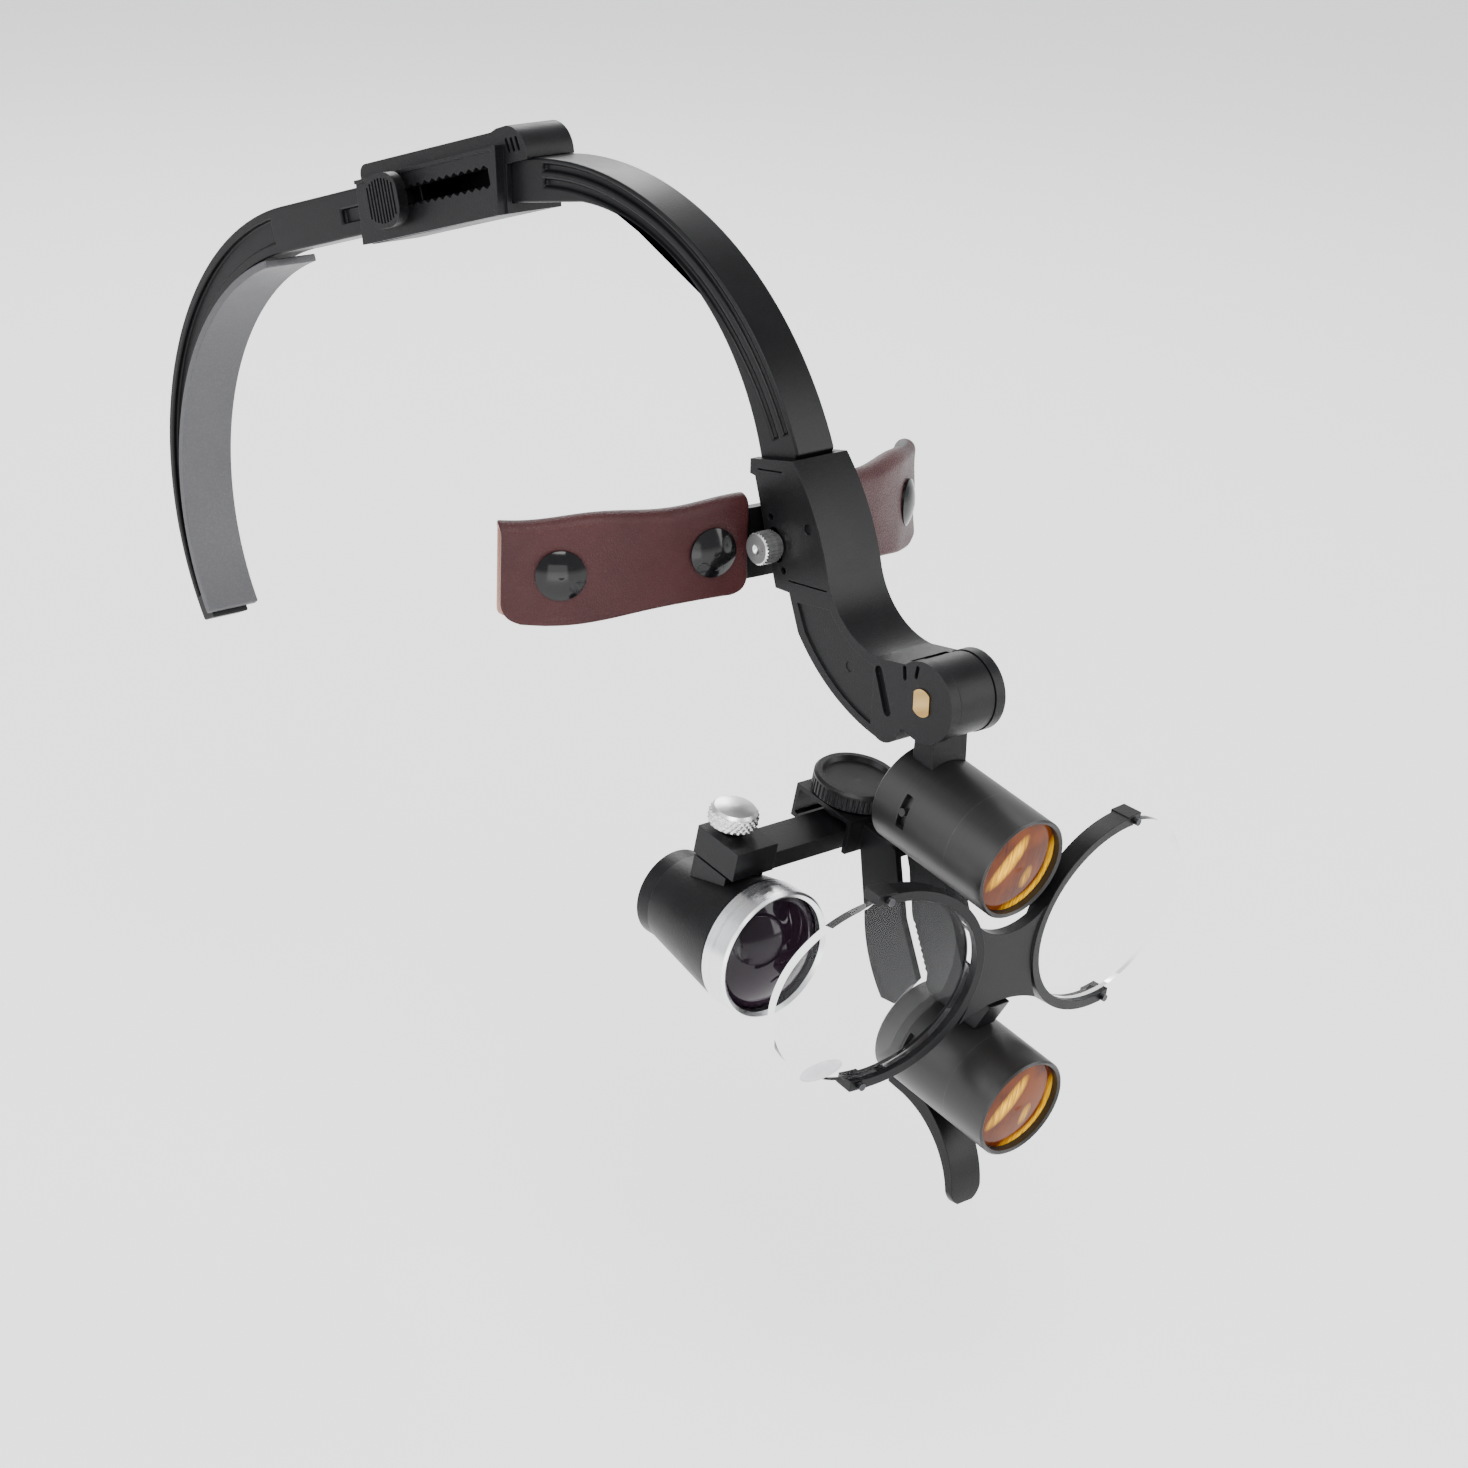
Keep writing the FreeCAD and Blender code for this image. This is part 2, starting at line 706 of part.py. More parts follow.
def knurl(body, radius, length, count, groove):
    """Straight grooves round a turned head, repeated about its own axis."""
    sketch = new_sketch(body, "XZ_Plane", body.Name + "_groove")
    draw_circle(sketch, (radius + groove * 0.35, 0), groove)
    feature = pocket(body, sketch, "%.3f" % (length * 2), body.Name + "_groove_cut", True)
    pattern = body.newObject("PartDesign::PolarPattern", body.Name + "_grooves")
    pattern.Originals = [feature]
    pattern.Axis = (sketch, ["N_Axis"])
    pattern.Angle = 360
    pattern.Occurrences = count
    body.Tip = pattern


# ---------------------------------------------------------------- carrier

tilt = math.radians(SIZES["barrel_tilt"])


def barrel_place(front):
    return placed(0, front[0], front[1], X_AXIS, SIZES["barrel_tilt"])


def on_barrel(front, back, above):
    """A point of the side plane from its place behind a barrel's front and above its axis."""
    y = front[0] + back * math.cos(tilt) - above * math.sin(tilt)
    z = front[1] + back * math.sin(tilt) + above * math.cos(tilt)
    return (y, z)


def make_knuckle():
    radius = SIZES["knuckle_radius"]
    outline = [
        circle_point(HINGE, radius, 300),
        (circle_point(HINGE, radius, 60), circle_point(HINGE, radius, 262)),
        on_barrel(UPPER_FRONT, 23.0, 7.0),
        on_barrel(UPPER_FRONT, 29.0, 7.0),
    ]
    body = side_body("KnuckleBlank", outline, "Sheet.knuckle_width")
    body_hole = cylinder("KnuckleBore", "Sheet.axle_radius + 0.06", 20,
                         placed(-10, HINGE[0], HINGE[1], Y_AXIS, 90))
    barrel = cylinder("KnuckleSeat", "Sheet.barrel_radius + 0.02", 60, placed(0, 0, 0))
    front = on_barrel(UPPER_FRONT, 40, 0)
    barrel.Placement = placed(0, front[0], front[1], X_AXIS, SIZES["barrel_tilt"] + 90)
    tools = fuse("KnuckleTools", [body_hole, barrel])
    trimmed = cut("KnuckleTrim", body, tools)
    # washers take up the last of the gap on each side of the boss
    faces = []
    for side, low, high in (("Right", -9.0, -4.2), ("Left", 4.2, 9.0)):
        ring = cylinder("BossFace%s" % side, "Sheet.ear_radius - 0.8", high - low,
                        placed(low, HINGE[0], HINGE[1], Y_AXIS, 90))
        faces.append(ring)
    keep(cut("Knuckle", trimmed, fuse("BossFaces", faces)), "hinge_knuckle")


def make_barrel(tag, front):
    place = barrel_place(front)
    radius = SIZES["barrel_radius"]
    bore = SIZES["barrel_bore"]
    bezel = SIZES["bezel_length"]
    length = SIZES["barrel_length"]
    ring = turned("Bezel_" + tag, [
        (bore + 0.35, 0.35), (radius - 0.35, 0.0), (radius, 0.35), (radius, bezel),
        (bore - 0.4, bezel), (bore - 0.4, 3.6), (bore + 0.35, 3.6),
    ])
    ring.Placement = place
    keep(ring, tag + "_bezel")
    glass = turned("Objective_" + tag, [
        (0, 0.9), dome(bore + 0.28, 1.7, 0.9, False), (bore + 0.28, 3.5), (0, 3.5),
    ])
    glass.Placement = place
    keep(glass, tag + "_objective")
    # rear tube with a circumferential slot for the focus pin
    shell = turned("TubeShell_" + tag, [
        (bore, bezel), (radius, bezel), (radius, length - 0.4), (radius - 0.4, length), (bore, length),
    ])
    slot_at = length - 8.2
    half = SIZES["focus_slot_angle"] / 2
    sector = doc.addObject("Part::Cylinder", "SlotSector_" + tag)
    sector.setExpression("Radius", "Sheet.barrel_radius + 2")
    sector.setExpression("Height", "Sheet.focus_slot_width")
    sector.setExpression("Angle", "Sheet.focus_slot_angle")
    # the sector's own axis is Z; turned to lie along the barrel, it opens on the wearer's right
    lay = FreeCAD.Rotation(X_AXIS, -90)
    spin = FreeCAD.Rotation(Y_AXIS, 180 + SLOT_LIFT - half)
    sector.Placement = FreeCAD.Placement(
        vec(0, slot_at - SIZES["focus_slot_width"] / 2, 0), spin.multiply(lay))
    tube = cut("Tube_" + tag, shell, sector)
    tube.Placement = place
    keep(tube, tag + "_tube")
    # inner focus sleeve, its pin and the eyepiece lens turn together
    outer = SIZES["sleeve_radius"]
    inner = SIZES["sleeve_bore"]
    sleeve = turned("SleeveTube_" + tag, [
        (inner, length - SIZES["focus_sleeve_length"]), (outer, length - SIZES["focus_sleeve_length"]),
        (outer, length - 0.2), (inner + 0.3, length - 0.2), (inner, length - 0.6),
    ])
    pin = cylinder("Pin_" + tag, "Sheet.focus_pin_radius", 2.6, placed(0, 0, 0))
    lift = math.radians(SLOT_LIFT)
    pin.Placement = FreeCAD.Placement(
        vec(-(inner + 0.4) * math.cos(lift), slot_at, (inner + 0.4) * math.sin(lift)),
        FreeCAD.Rotation(Z_AXIS, vec(-math.cos(lift), 0, math.sin(lift))))
    joined = fuse("FocusSleeve_" + tag, [sleeve, pin])
    joined.Placement = place
    keep(joined, tag + "_focus_sleeve")
    eye = turned("Eyepiece_" + tag, [
        (0, length - 4.4), (inner - 0.05, length - 4.4), (inner - 0.05, length - 2.6),
        dome(inner - 0.05, length - 2.6, length - 1.6),
    ])
    eye.Placement = place
    keep(eye, tag + "_eyepiece")


def channel_place(x=0.0, y=0.0, z=0.0, axis=X_AXIS, degrees=0.0):
    """Place in the channel's own frame: its origin is on the sheet's top, under the clamp knob."""
    frame = placed(0, CHANNEL_AT[0], CHANNEL_AT[1], X_AXIS, SIZES["barrel_tilt"])
    return frame.multiply(placed(x, y, z, axis, degrees))


def make_channel():
    """Folded channel for the bar, with one cheek that hangs down behind the web."""
    half = SIZES["channel_width"] / 2
    sheet_t = SIZES["sheet_thickness"]
    bottom = -SIZES["channel_height"]
    channel = side_body("Channel", [
        (-half, bottom), (-half, 0), (half, 0), (half, bottom),
        (half - 1.8, bottom), (half - 1.8, bottom + sheet_t), (half - sheet_t, bottom + sheet_t),
        (half - sheet_t, -sheet_t), (-half + sheet_t, -sheet_t), (-half + sheet_t, bottom),
    ], "Sheet.channel_length")
    channel.Placement = channel_place()
    hole = cylinder("KnobHole", 2.1, 6, channel_place(0, 0, -3))
    cheek_outline = [
        (-33.8, -50.0),
        (-43.6, -52.8),
        (-46.2, -66.6),
        (-51.0, -77.6),
        (-45.2, -84.9),
        (-41.5, -84.9),
        ((-36.9, -75.8), (-35.6, -66.9)),
        (-33.8, -55.6),
    ]
    wide = side_body("CheekBlank", cheek_outline, "8.0")
    gap = side_body("CheekGap", [(-30, -54.4), (-30, -90), (-60, -90), (-60, -54.4)], "10.0")
    gap.Placement = placed(2.5, 0, 0)
    cheeks = cut("Cheeks", wide, gap)
    solid = fuse("ChannelSolid", [channel, cheeks])
    inside = side_body("ChannelInside", [
        (-half + sheet_t, bottom - 2), (-half + sheet_t, -sheet_t),
        (half - sheet_t, -sheet_t), (half - sheet_t, bottom - 2),
    ], "Sheet.channel_length + 1")
    inside.Placement = channel_place()
    lip = side_body("ChannelLip", [
        (half - 2.2, bottom - 3), (half - 2.2, bottom + sheet_t), (half, bottom + sheet_t),
        (half, bottom - 3),
    ], "Sheet.channel_length + 2")
    lip.Placement = channel_place()
    space = cut("ChannelSpace", inside, lip)
    keep(cut("ChannelDrilled", solid, fuse("ChannelTools", [hole, space])), "bar_channel")


def make_web():
    """Plate between the two barrels; its lower rear edge carries a fine rack."""
    rack = []
    count = 9
    start, end = (-48.3, -66.2), (-52.6, -76.2)
    for number in range(count):
        step = number / count
        root = (start[0] + (end[0] - start[0]) * step, start[1] + (end[1] - start[1]) * step)
        rack.append((root[0] + 0.35, root[1] - 0.15))
        rack.append((root[0] - 0.35, root[1] - 0.75))
    outline = [on_barrel(UPPER_FRONT, 27.2, -10.76), (-46.4, -56.0), (-47.5, -65.0)] + rack + [
        (-52.3, -78.4),
        on_barrel(LOWER_FRONT, 27.6, 10.75),
        on_barrel(LOWER_FRONT, 19.2, 10.75),
        (-64.0, -77.3),
        (-57.1, -58.4),
        on_barrel(UPPER_FRONT, 15.6, -10.76),
    ]
    return keep(side_body("Web", outline, "5.4"), "carrier_web")


def make_bridge_block():
    """Two small blocks that seat the lens bridge against the barrels."""
    lower = side_body("LowerBlock", [
        (-66.6, -76.2),
        (-64.6, -77.4),
        (-62.4, -82.3),
        on_barrel(LOWER_FRONT, 14.0, 10.75),
        (-70.6, -77.0),
    ], "5.4")
    saddle = cylinder("LowerSeat_tool", "Sheet.barrel_radius + 0.02", 60, placed(0, 0, 0))
    back = on_barrel(LOWER_FRONT, 40, 0)
    saddle.Placement = placed(0, back[0], back[1], X_AXIS, SIZES["barrel_tilt"] + 90)
    keep(cut("LowerBlockSeat", lower, saddle), "bridge_block")


def make_handle():
    """Curved flip handle: a flat strap that leaves the lower barrel's underside and turns down."""
    outline = [
        on_barrel(LOWER_FRONT, 31.0, -10.85),
        on_barrel(LOWER_FRONT, 31.0, -12.6),
        on_barrel(LOWER_FRONT, 26.5, -12.8),
        ((-58.2, -109.2), (-62.6, -122.6)),
        (-64.4, -122.4),
        ((-60.6, -107.6), on_barrel(LOWER_FRONT, 20.5, -10.85)),
    ]
    strap = side_body("Strap", outline, "Sheet.handle_width")
    # rounded end: seen from the front, the tip is a half circle
    tip = new_body("TipShape")
    sketch = new_sketch(tip, "XZ_Plane", "Tip_outline")
    half = SIZES["handle_width"] / 2
    draw_loop(sketch, [(-half, -90), (half, -90), (half, -119.4), ((0, -122.9), (-half, -119.4))])
    pad(tip, sketch, "80", "Tip_pad", False, True)
    tip.Placement = placed(0, -90, 0)
    handle = doc.addObject("Part::MultiCommon", "Handle")
    handle.Shapes = [strap, tip]
    keep(handle, "flip_handle")


# ---------------------------------------------------------------- clip lenses


def elliptic_bar(name, half_width, half_height, depth):
    """An upright elliptic bar along +Y from the lens plane."""
    body = new_body(name)
    sketch = new_sketch(body, "XZ_Plane", name + "_sketch")
    major, minor = max(half_width, half_height), min(half_width, half_height)
    ellipse = Part.Ellipse(vec(0, 0, 0), major, minor)
    sketch.addGeometry(ellipse, False)
    pad(body, sketch, str(depth), name + "_pad", False, True)
    return body


def lens_place(sign):
    """Lens frame: tilted with the bridge, wrapped back towards the temple."""
    frame = placed(0, LENS_CENTRE[0], LENS_CENTRE[1], X_AXIS, SIZES["lens_tilt"])
    wrap = placed(sign * SIZES["lens_offset"], 1.2, 0, Z_AXIS, sign * SIZES["lens_wrap"])
    return frame.multiply(wrap)


def make_lenses():
    wide = SIZES["lens_half_width"]
    tall = SIZES["lens_half_height"]
    wall = SIZES["rim_wall"]
    curve = SIZES["lens_curve"]
    rims = []
    screws = []
    for side, sign in (("right", -1), ("left", 1)):
        place = lens_place(sign)
        slug = elliptic_bar("LensSlug_" + side, wide, tall, 8)
        outside = doc.addObject("Part::Sphere", "LensFront_" + side)
        outside.setExpression("Radius", "Sheet.lens_curve")
        outside.Placement = placed(0, curve, 0)
        inside = doc.addObject("Part::Sphere", "LensBack_" + side)
        inside.setExpression("Radius", "Sheet.lens_curve - Sheet.lens_thickness")
        inside.Placement = placed(0, curve, 0)
        shell = cut("LensShell_" + side, outside, inside)
        lens = doc.addObject("Part::MultiCommon", "Lens_" + side)
        lens.Shapes = [slug, shell]
        lens.Placement = place
        keep(lens, side + "_lens")
        outer = elliptic_bar("RimOuter_" + side, wide + wall, tall + wall, SIZES["rim_depth"])
        inner = elliptic_bar("RimInner_" + side, wide + 0.05, tall + 0.05, 12)
        inner.Placement = placed(0, -4, 0)
        ring = cut("RimRing_" + side, outer, inner)
        # the rim stops just past the top and bottom of the lens, so its temple half is bare
        if sign < 0:
            bare = block("RimBare_" + side, (-40, -10, -40), (-1.0, 15, 40))
        else:
            bare = block("RimBare_" + side, (1.0, -10, -40), (40, 15, 40))
        arc = cut("RimArc_" + side, ring, bare)
        tabs = []
        for end, height in (("Top", tall + wall / 2), ("Bottom", -tall - wall / 2)):
            low = -3.4 if sign < 0 else -0.8
            tab = block("Tab%s_%s" % (end, side), (low, 0.2, height - 1.2), (low + 4.2, 4.6, height + 1.2))
            tabs.append(cut("TabTrim%s_%s" % (end, side), tab, copy_of(inner, end + side)))
            screw = cylinder("RimScrew%s_%s" % (end, side), 0.75, 1.0,
                             placed(low + 2.1, -0.02, height, X_AXIS, 90))
            screw.Placement = place.multiply(screw.Placement)
            screws.append(screw)
        half = fuse("HalfRim_" + side, [arc] + tabs)
        half.Placement = place
        rims.append(half)
    bridge = new_body("BridgePlate")
    sketch = new_sketch(bridge, "XZ_Plane", "Bridge_outline")
    draw_loop(sketch, [
        (-11.5, 11.5),
        ((0, 5.0), (11.5, 11.5)),
        ((7.4, 0.5), (10.5, -12.5)),
        ((0, -10.2), (-10.5, -12.5)),
        ((-7.4, 0.5), (-11.5, 11.5)),
    ])
    pad(bridge, sketch, "2.4", "Bridge_pad", False, True)
    bridge.Placement = placed(0, LENS_CENTRE[0] - 0.8, LENS_CENTRE[1], X_AXIS, SIZES["lens_tilt"])
    solid = fuse("BridgeSolid", rims + [bridge])
    relief = cylinder("BridgeRelief", "Sheet.barrel_radius + 0.5", 60, placed(0, 0, 0))
    back = on_barrel(UPPER_FRONT, 50, 0)
    relief.Placement = placed(0, back[0], back[1], X_AXIS, SIZES["barrel_tilt"] + 90)
    keep(cut("LensBridge", solid, relief), "lens_bridge")
    keep(group("RimScrews", screws), "rim_screws")


def copy_of(thing, tag):
    """A second elliptic bore with the same size, so each boolean owns its own tool."""
    twin = elliptic_bar("Bore_" + tag, SIZES["lens_half_width"] + 0.05,
                        SIZES["lens_half_height"] + 0.05, 12)
    twin.Placement = thing.Placement
    return twin


# ---------------------------------------------------------------- bar, knob and side loupe

SCREW_BACK = 1.5
RAIL_TOP = -3.4
BLOCK_TOP = -1.0
BLOCK_BOTTOM = -7.1


def make_bar():
    offset = SIZES["loupe_offset"]
    rail = doc.addObject("Part::Box", "Rail")
    rail.Length = offset + 3.0
    rail.setExpression("Width", "Sheet.bar_depth")
    rail.setExpression("Height", "Sheet.bar_height")
    rail.Placement = placed(-offset + 5.0, -6.2, RAIL_TOP - SIZES["bar_height"])
    end = block("BarEnd", (-offset - 5.0, -6.6, BLOCK_BOTTOM), (-offset + 5.4, 5.4, BLOCK_TOP))
    solid = fuse("BarSolid", [rail, end])
    hole = cylinder("BarHole", 1.6, 20, placed(-offset, SCREW_BACK, -12))
    bar = cut("Bar", solid, hole)
    bar.Placement = channel_place()
    keep(bar, "pd_bar")


def make_knob():
    radius = SIZES["knob_radius"]
    height = SIZES["knob_height"]
    # profile runs up the knob's axis: washer boss under the sheet, screw neck, then the dished head
    body = turned("Knob", [
        (0, -3.2), (5.8, -3.2), (5.8, -1.25), (1.95, -1.25), (1.95, 0.3), (radius - 0.7, 0.3),
        (radius, 0.8), (radius, height - 0.5), (radius - 0.5, height), (radius - 1.6, height),
        (radius - 2.2, height - 0.9), (0, height - 1.1),
    ])
    knurl(body, radius, height * 0.8, 48, 0.42)
    body.Placement = channel_place(0, 0, 0, X_AXIS, 90)
    keep(body, "clamp_knob")


def loupe_front():
    return (-39.6, -69.5)


def loupe_place():
    front = loupe_front()
    return placed(-SIZES["loupe_offset"], front[0], front[1], X_AXIS, SIZES["loupe_tilt"])


def make_loupe():
    place = loupe_place()
    front = SIZES["loupe_front_radius"]
    rear = SIZES["loupe_rear_radius"]
    length = SIZES["loupe_length"]
    ring_length = SIZES["loupe_ring_length"]
    bore = SIZES["loupe_lens_radius"]
    ring = turned("LoupeRing", [
        (bore, 0.6), (front - 0.5, 0), (front, 0.5), (front, ring_length), (bore + 0.1, ring_length),
        (bore + 0.1, 2.0), (bore, 2.0),
    ], [(2, 1, "loupe_front_radius")])
    ring.Placement = place
    keep(ring, "loupe_ring")
    shell = turned("LoupeShell", [
        (front - 0.15, ring_length), (front - 0.15, ring_length + 0.6), (rear + 0.2, length - 3.6),
        (rear, length - 3.4), (rear, length), (rear - 1.3, length), (rear - 1.3, length - 4.2),
        (bore + 0.1, ring_length + 1.0), (bore + 0.1, ring_length),
    ])
    shell.Placement = place
    keep(shell, "loupe_cone")
    glass = turned("LoupeObjective", [
        (0, -2.2), dome(bore - 0.05, 2.3, -2.2, False), (bore - 0.05, 4.4), (0, 4.4),
    ])
    glass.Placement = place
    keep(glass, "loupe_objective")
    eye = turned("LoupeEyepiece", [
        (0, length - 3.6), (rear - 1.35, length - 3.6), (rear - 1.35, length - 2.2),
        dome(rear - 1.35, length - 2.2, length - 1.3),
    ])
    eye.Placement = place
    keep(eye, "loupe_eyepiece")
    # saddle: flat on top under the bar's end, hollowed to the cone below
    offset = SIZES["loupe_offset"]
    top = RAIL_TOP - SIZES["bar_height"] - 0.3
    blank = block("SaddleBlank", (-offset - 5.0, -4.6, -15.0), (-offset + 5.0, 5.0, top))
    blank.Placement = channel_place(-offset - 5.0, -4.6, -15.0)
    tool = doc.addObject("Part::Cone", "SaddleTool")
    tool.Radius1 = front - 0.15
    tool.Radius2 = rear + 0.2
    tool.Height = length - 3.6 - ring_length - 0.6
    tool.Placement = place.multiply(placed(0, ring_length + 0.6, 0, X_AXIS, -90))
    saddle = cut("Saddle", blank, tool)
    hole = cylinder("SaddleHole", 1.42, 2.2, channel_place(-offset, SCREW_BACK, top - 2.0))
    keep(cut("SaddleDrilled", saddle, hole), "loupe_saddle")


def make_thumbscrew():
    radius = SIZES["thumb_radius"]
    head = SIZES["thumb_head"]
    body = turned("Thumb", [
        (0, -8.1), (1.35, -8.1), (1.35, 0.0), (2.6, 0.0), (2.6, 1.0), (radius - 0.4, 1.0),
        (radius, 1.4), (radius, head + 0.4), (radius - 0.5, head + 0.9), dome(radius - 0.5, head + 0.9, head + 1.4),
    ])
    body.Placement = channel_place(-SIZES["loupe_offset"], SCREW_BACK, BLOCK_TOP + 0.3, X_AXIS, 90)
    keep(body, "loupe_thumbscrew")


# ---------------------------------------------------------------- build, check, write

make_front_band()
make_housing()
make_bracket()
make_hinge_parts()
make_rear_band()
make_rear_pad()
make_button()
make_pad()
make_pad_screw()
make_knuckle()
make_barrel("upper", UPPER_FRONT)
make_barrel("lower", LOWER_FRONT)
make_channel()
make_web()
make_bridge_block()
make_handle()
make_lenses()
make_bar()
make_knob()
make_loupe()
make_thumbscrew()

doc.recompute()
for item in doc.Objects:
    faults = [state for state in item.State if state in ("Invalid", "Error")]
    if faults:
        raise RuntimeError("%s is %s" % (item.Label, faults))
os.makedirs("parts", exist_ok=True)
for thing in node_names:
    shape = thing.Shape
    if shape.isNull() or not shape.isValid() or not shape.Solids:
        raise RuntimeError("%s has no valid solid" % thing.Label)
    shape.exportStep("parts/%s.step" % thing.Label)
    print("%-22s solids %d  volume %9.1f" % (thing.Label, len(shape.Solids), shape.Volume))
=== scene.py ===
import json
import math

import bmesh
import bpy
from mathutils import Matrix, Vector, noise


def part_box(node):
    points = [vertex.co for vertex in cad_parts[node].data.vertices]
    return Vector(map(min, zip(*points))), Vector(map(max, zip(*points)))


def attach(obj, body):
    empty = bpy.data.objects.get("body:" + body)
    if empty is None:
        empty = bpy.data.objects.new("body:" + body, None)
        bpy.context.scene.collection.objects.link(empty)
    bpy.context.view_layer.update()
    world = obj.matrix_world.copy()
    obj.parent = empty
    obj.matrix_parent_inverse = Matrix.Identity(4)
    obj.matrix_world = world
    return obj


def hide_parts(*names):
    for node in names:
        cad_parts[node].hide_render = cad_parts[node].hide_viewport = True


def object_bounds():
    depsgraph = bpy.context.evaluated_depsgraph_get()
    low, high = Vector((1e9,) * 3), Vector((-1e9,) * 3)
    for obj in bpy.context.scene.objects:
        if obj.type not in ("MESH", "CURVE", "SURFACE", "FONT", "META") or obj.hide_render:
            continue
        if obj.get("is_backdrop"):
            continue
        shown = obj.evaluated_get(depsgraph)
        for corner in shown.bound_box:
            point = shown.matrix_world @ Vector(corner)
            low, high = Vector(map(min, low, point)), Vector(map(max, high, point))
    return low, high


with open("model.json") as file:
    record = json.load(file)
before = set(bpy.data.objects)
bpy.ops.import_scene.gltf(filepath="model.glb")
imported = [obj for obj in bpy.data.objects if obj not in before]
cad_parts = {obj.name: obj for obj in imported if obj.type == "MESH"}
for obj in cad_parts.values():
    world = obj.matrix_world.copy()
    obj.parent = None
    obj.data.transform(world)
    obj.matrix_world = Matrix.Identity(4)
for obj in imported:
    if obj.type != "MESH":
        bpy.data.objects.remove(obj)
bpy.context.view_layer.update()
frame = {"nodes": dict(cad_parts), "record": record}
print("visor: frame loaded, %d parts" % len(frame["nodes"]))

# the barrels, channel and knob all lean this much, nose down
barrelTilt = math.radians(12.5)
barrelAxis = Vector((0, math.cos(barrelTilt), math.sin(barrelTilt)))
knobAxis = Vector((0, -math.sin(barrelTilt), math.cos(barrelTilt)))


# ---- small helpers for building materials

def newMaterial(name):
    material = bpy.data.materials.new(name)
    material.use_nodes = True
    tree = material.node_tree
    shader = tree.nodes["Principled BSDF"]
    return material, tree, shader


def addNode(tree, kind, **settings):
    node = tree.nodes.new(kind)
    for key, value in settings.items():
        setattr(node, key, value)
    return node


def plug(tree, source, target):
    tree.links.new(source, target)


def mathNode(tree, operation, first, second=None, clamp=False):
    node = addNode(tree, "ShaderNodeMath", operation=operation, use_clamp=clamp)
    for index, value in enumerate((first, second)):
        if value is None:
            continue
        if isinstance(value, (int, float)):
            node.inputs[index].default_value = value
        else:
            plug(tree, value, node.inputs[index])
    return node.outputs[0]


def mixColor(tree, factor, first, second, blend="MIX"):
    node = addNode(tree, "ShaderNodeMix", data_type="RGBA", blend_type=blend)
    for index, value in ((0, factor), (6, first), (7, second)):
        if isinstance(value, tuple):
            node.inputs[index].default_value = (*value, 1.0)
        elif isinstance(value, (int, float)):
            node.inputs[index].default_value = value
        else:
            plug(tree, value, node.inputs[index])
    return node.outputs[2]


def rangeNode(tree, value, low, high, toLow, toHigh):
    node = addNode(tree, "ShaderNodeMapRange")
    plug(tree, value, node.inputs["Value"])
    node.inputs["From Min"].default_value = low
    node.inputs["From Max"].default_value = high
    node.inputs["To Min"].default_value = toLow
    node.inputs["To Max"].default_value = toHigh
    return node.outputs["Result"]


def newGroup(name, inputs, outputs):
    group = bpy.data.node_groups.new(name, "ShaderNodeTree")
    for label, kind, value in inputs:
        socket = group.interface.new_socket(label, in_out="INPUT", socket_type=kind)
        socket.default_value = value
    for label, kind in outputs:
        group.interface.new_socket(label, in_out="OUTPUT", socket_type=kind)
    start = group.nodes.new("NodeGroupInput")
    end = group.nodes.new("NodeGroupOutput")
    return group, start, end


def useGroup(tree, group, **values):
    node = tree.nodes.new("ShaderNodeGroup")
    node.node_tree = group
    for label, value in values.items():
        node.inputs[label].default_value = value
    return node


# ---- shared surface effects, as node groups

def makeEdgeWearAndHighlight():
    # painted edge highlight and rubbed wear in one mask: corners and ribs catch light, the rounded normal
    # leaves the flat one there
    group, start, end = newGroup(
        "edgeWearAndHighlight",
        [("Radius", "NodeSocketFloat", 0.0004), ("Amount", "NodeSocketFloat", 1.0),
         ("Break", "NodeSocketFloat", 900.0)],
        [("Mask", "NodeSocketFloat"), ("Normal", "NodeSocketVector")],
    )
    bevel = addNode(group, "ShaderNodeBevel", samples=6)
    plug(group, start.outputs["Radius"], bevel.inputs["Radius"])
    flat = addNode(group, "ShaderNodeNewGeometry")
    dot = addNode(group, "ShaderNodeVectorMath", operation="DOT_PRODUCT")
    plug(group, bevel.outputs["Normal"], dot.inputs[0])
    plug(group, flat.outputs["Normal"], dot.inputs[1])
    edge = rangeNode(group, dot.outputs["Value"], 0.985, 0.80, 0.0, 1.0)
    coords = addNode(group, "ShaderNodeTexCoord")
    speck = addNode(group, "ShaderNodeTexNoise")
    plug(group, coords.outputs["Object"], speck.inputs["Vector"])
    plug(group, start.outputs["Break"], speck.inputs["Scale"])
    speck.inputs["Detail"].default_value = 3.0
    broken = rangeNode(group, speck.outputs["Fac"], 0.35, 0.72, 0.15, 1.0)
    # painted edge highlight, broken up by speckle as wear is
    wornAndLit = mathNode(group, "MULTIPLY", edge, broken)
    plug(group, mathNode(group, "MULTIPLY", wornAndLit, start.outputs["Amount"], True), end.inputs["Mask"])
    plug(group, bevel.outputs["Normal"], end.inputs["Normal"])
    return group


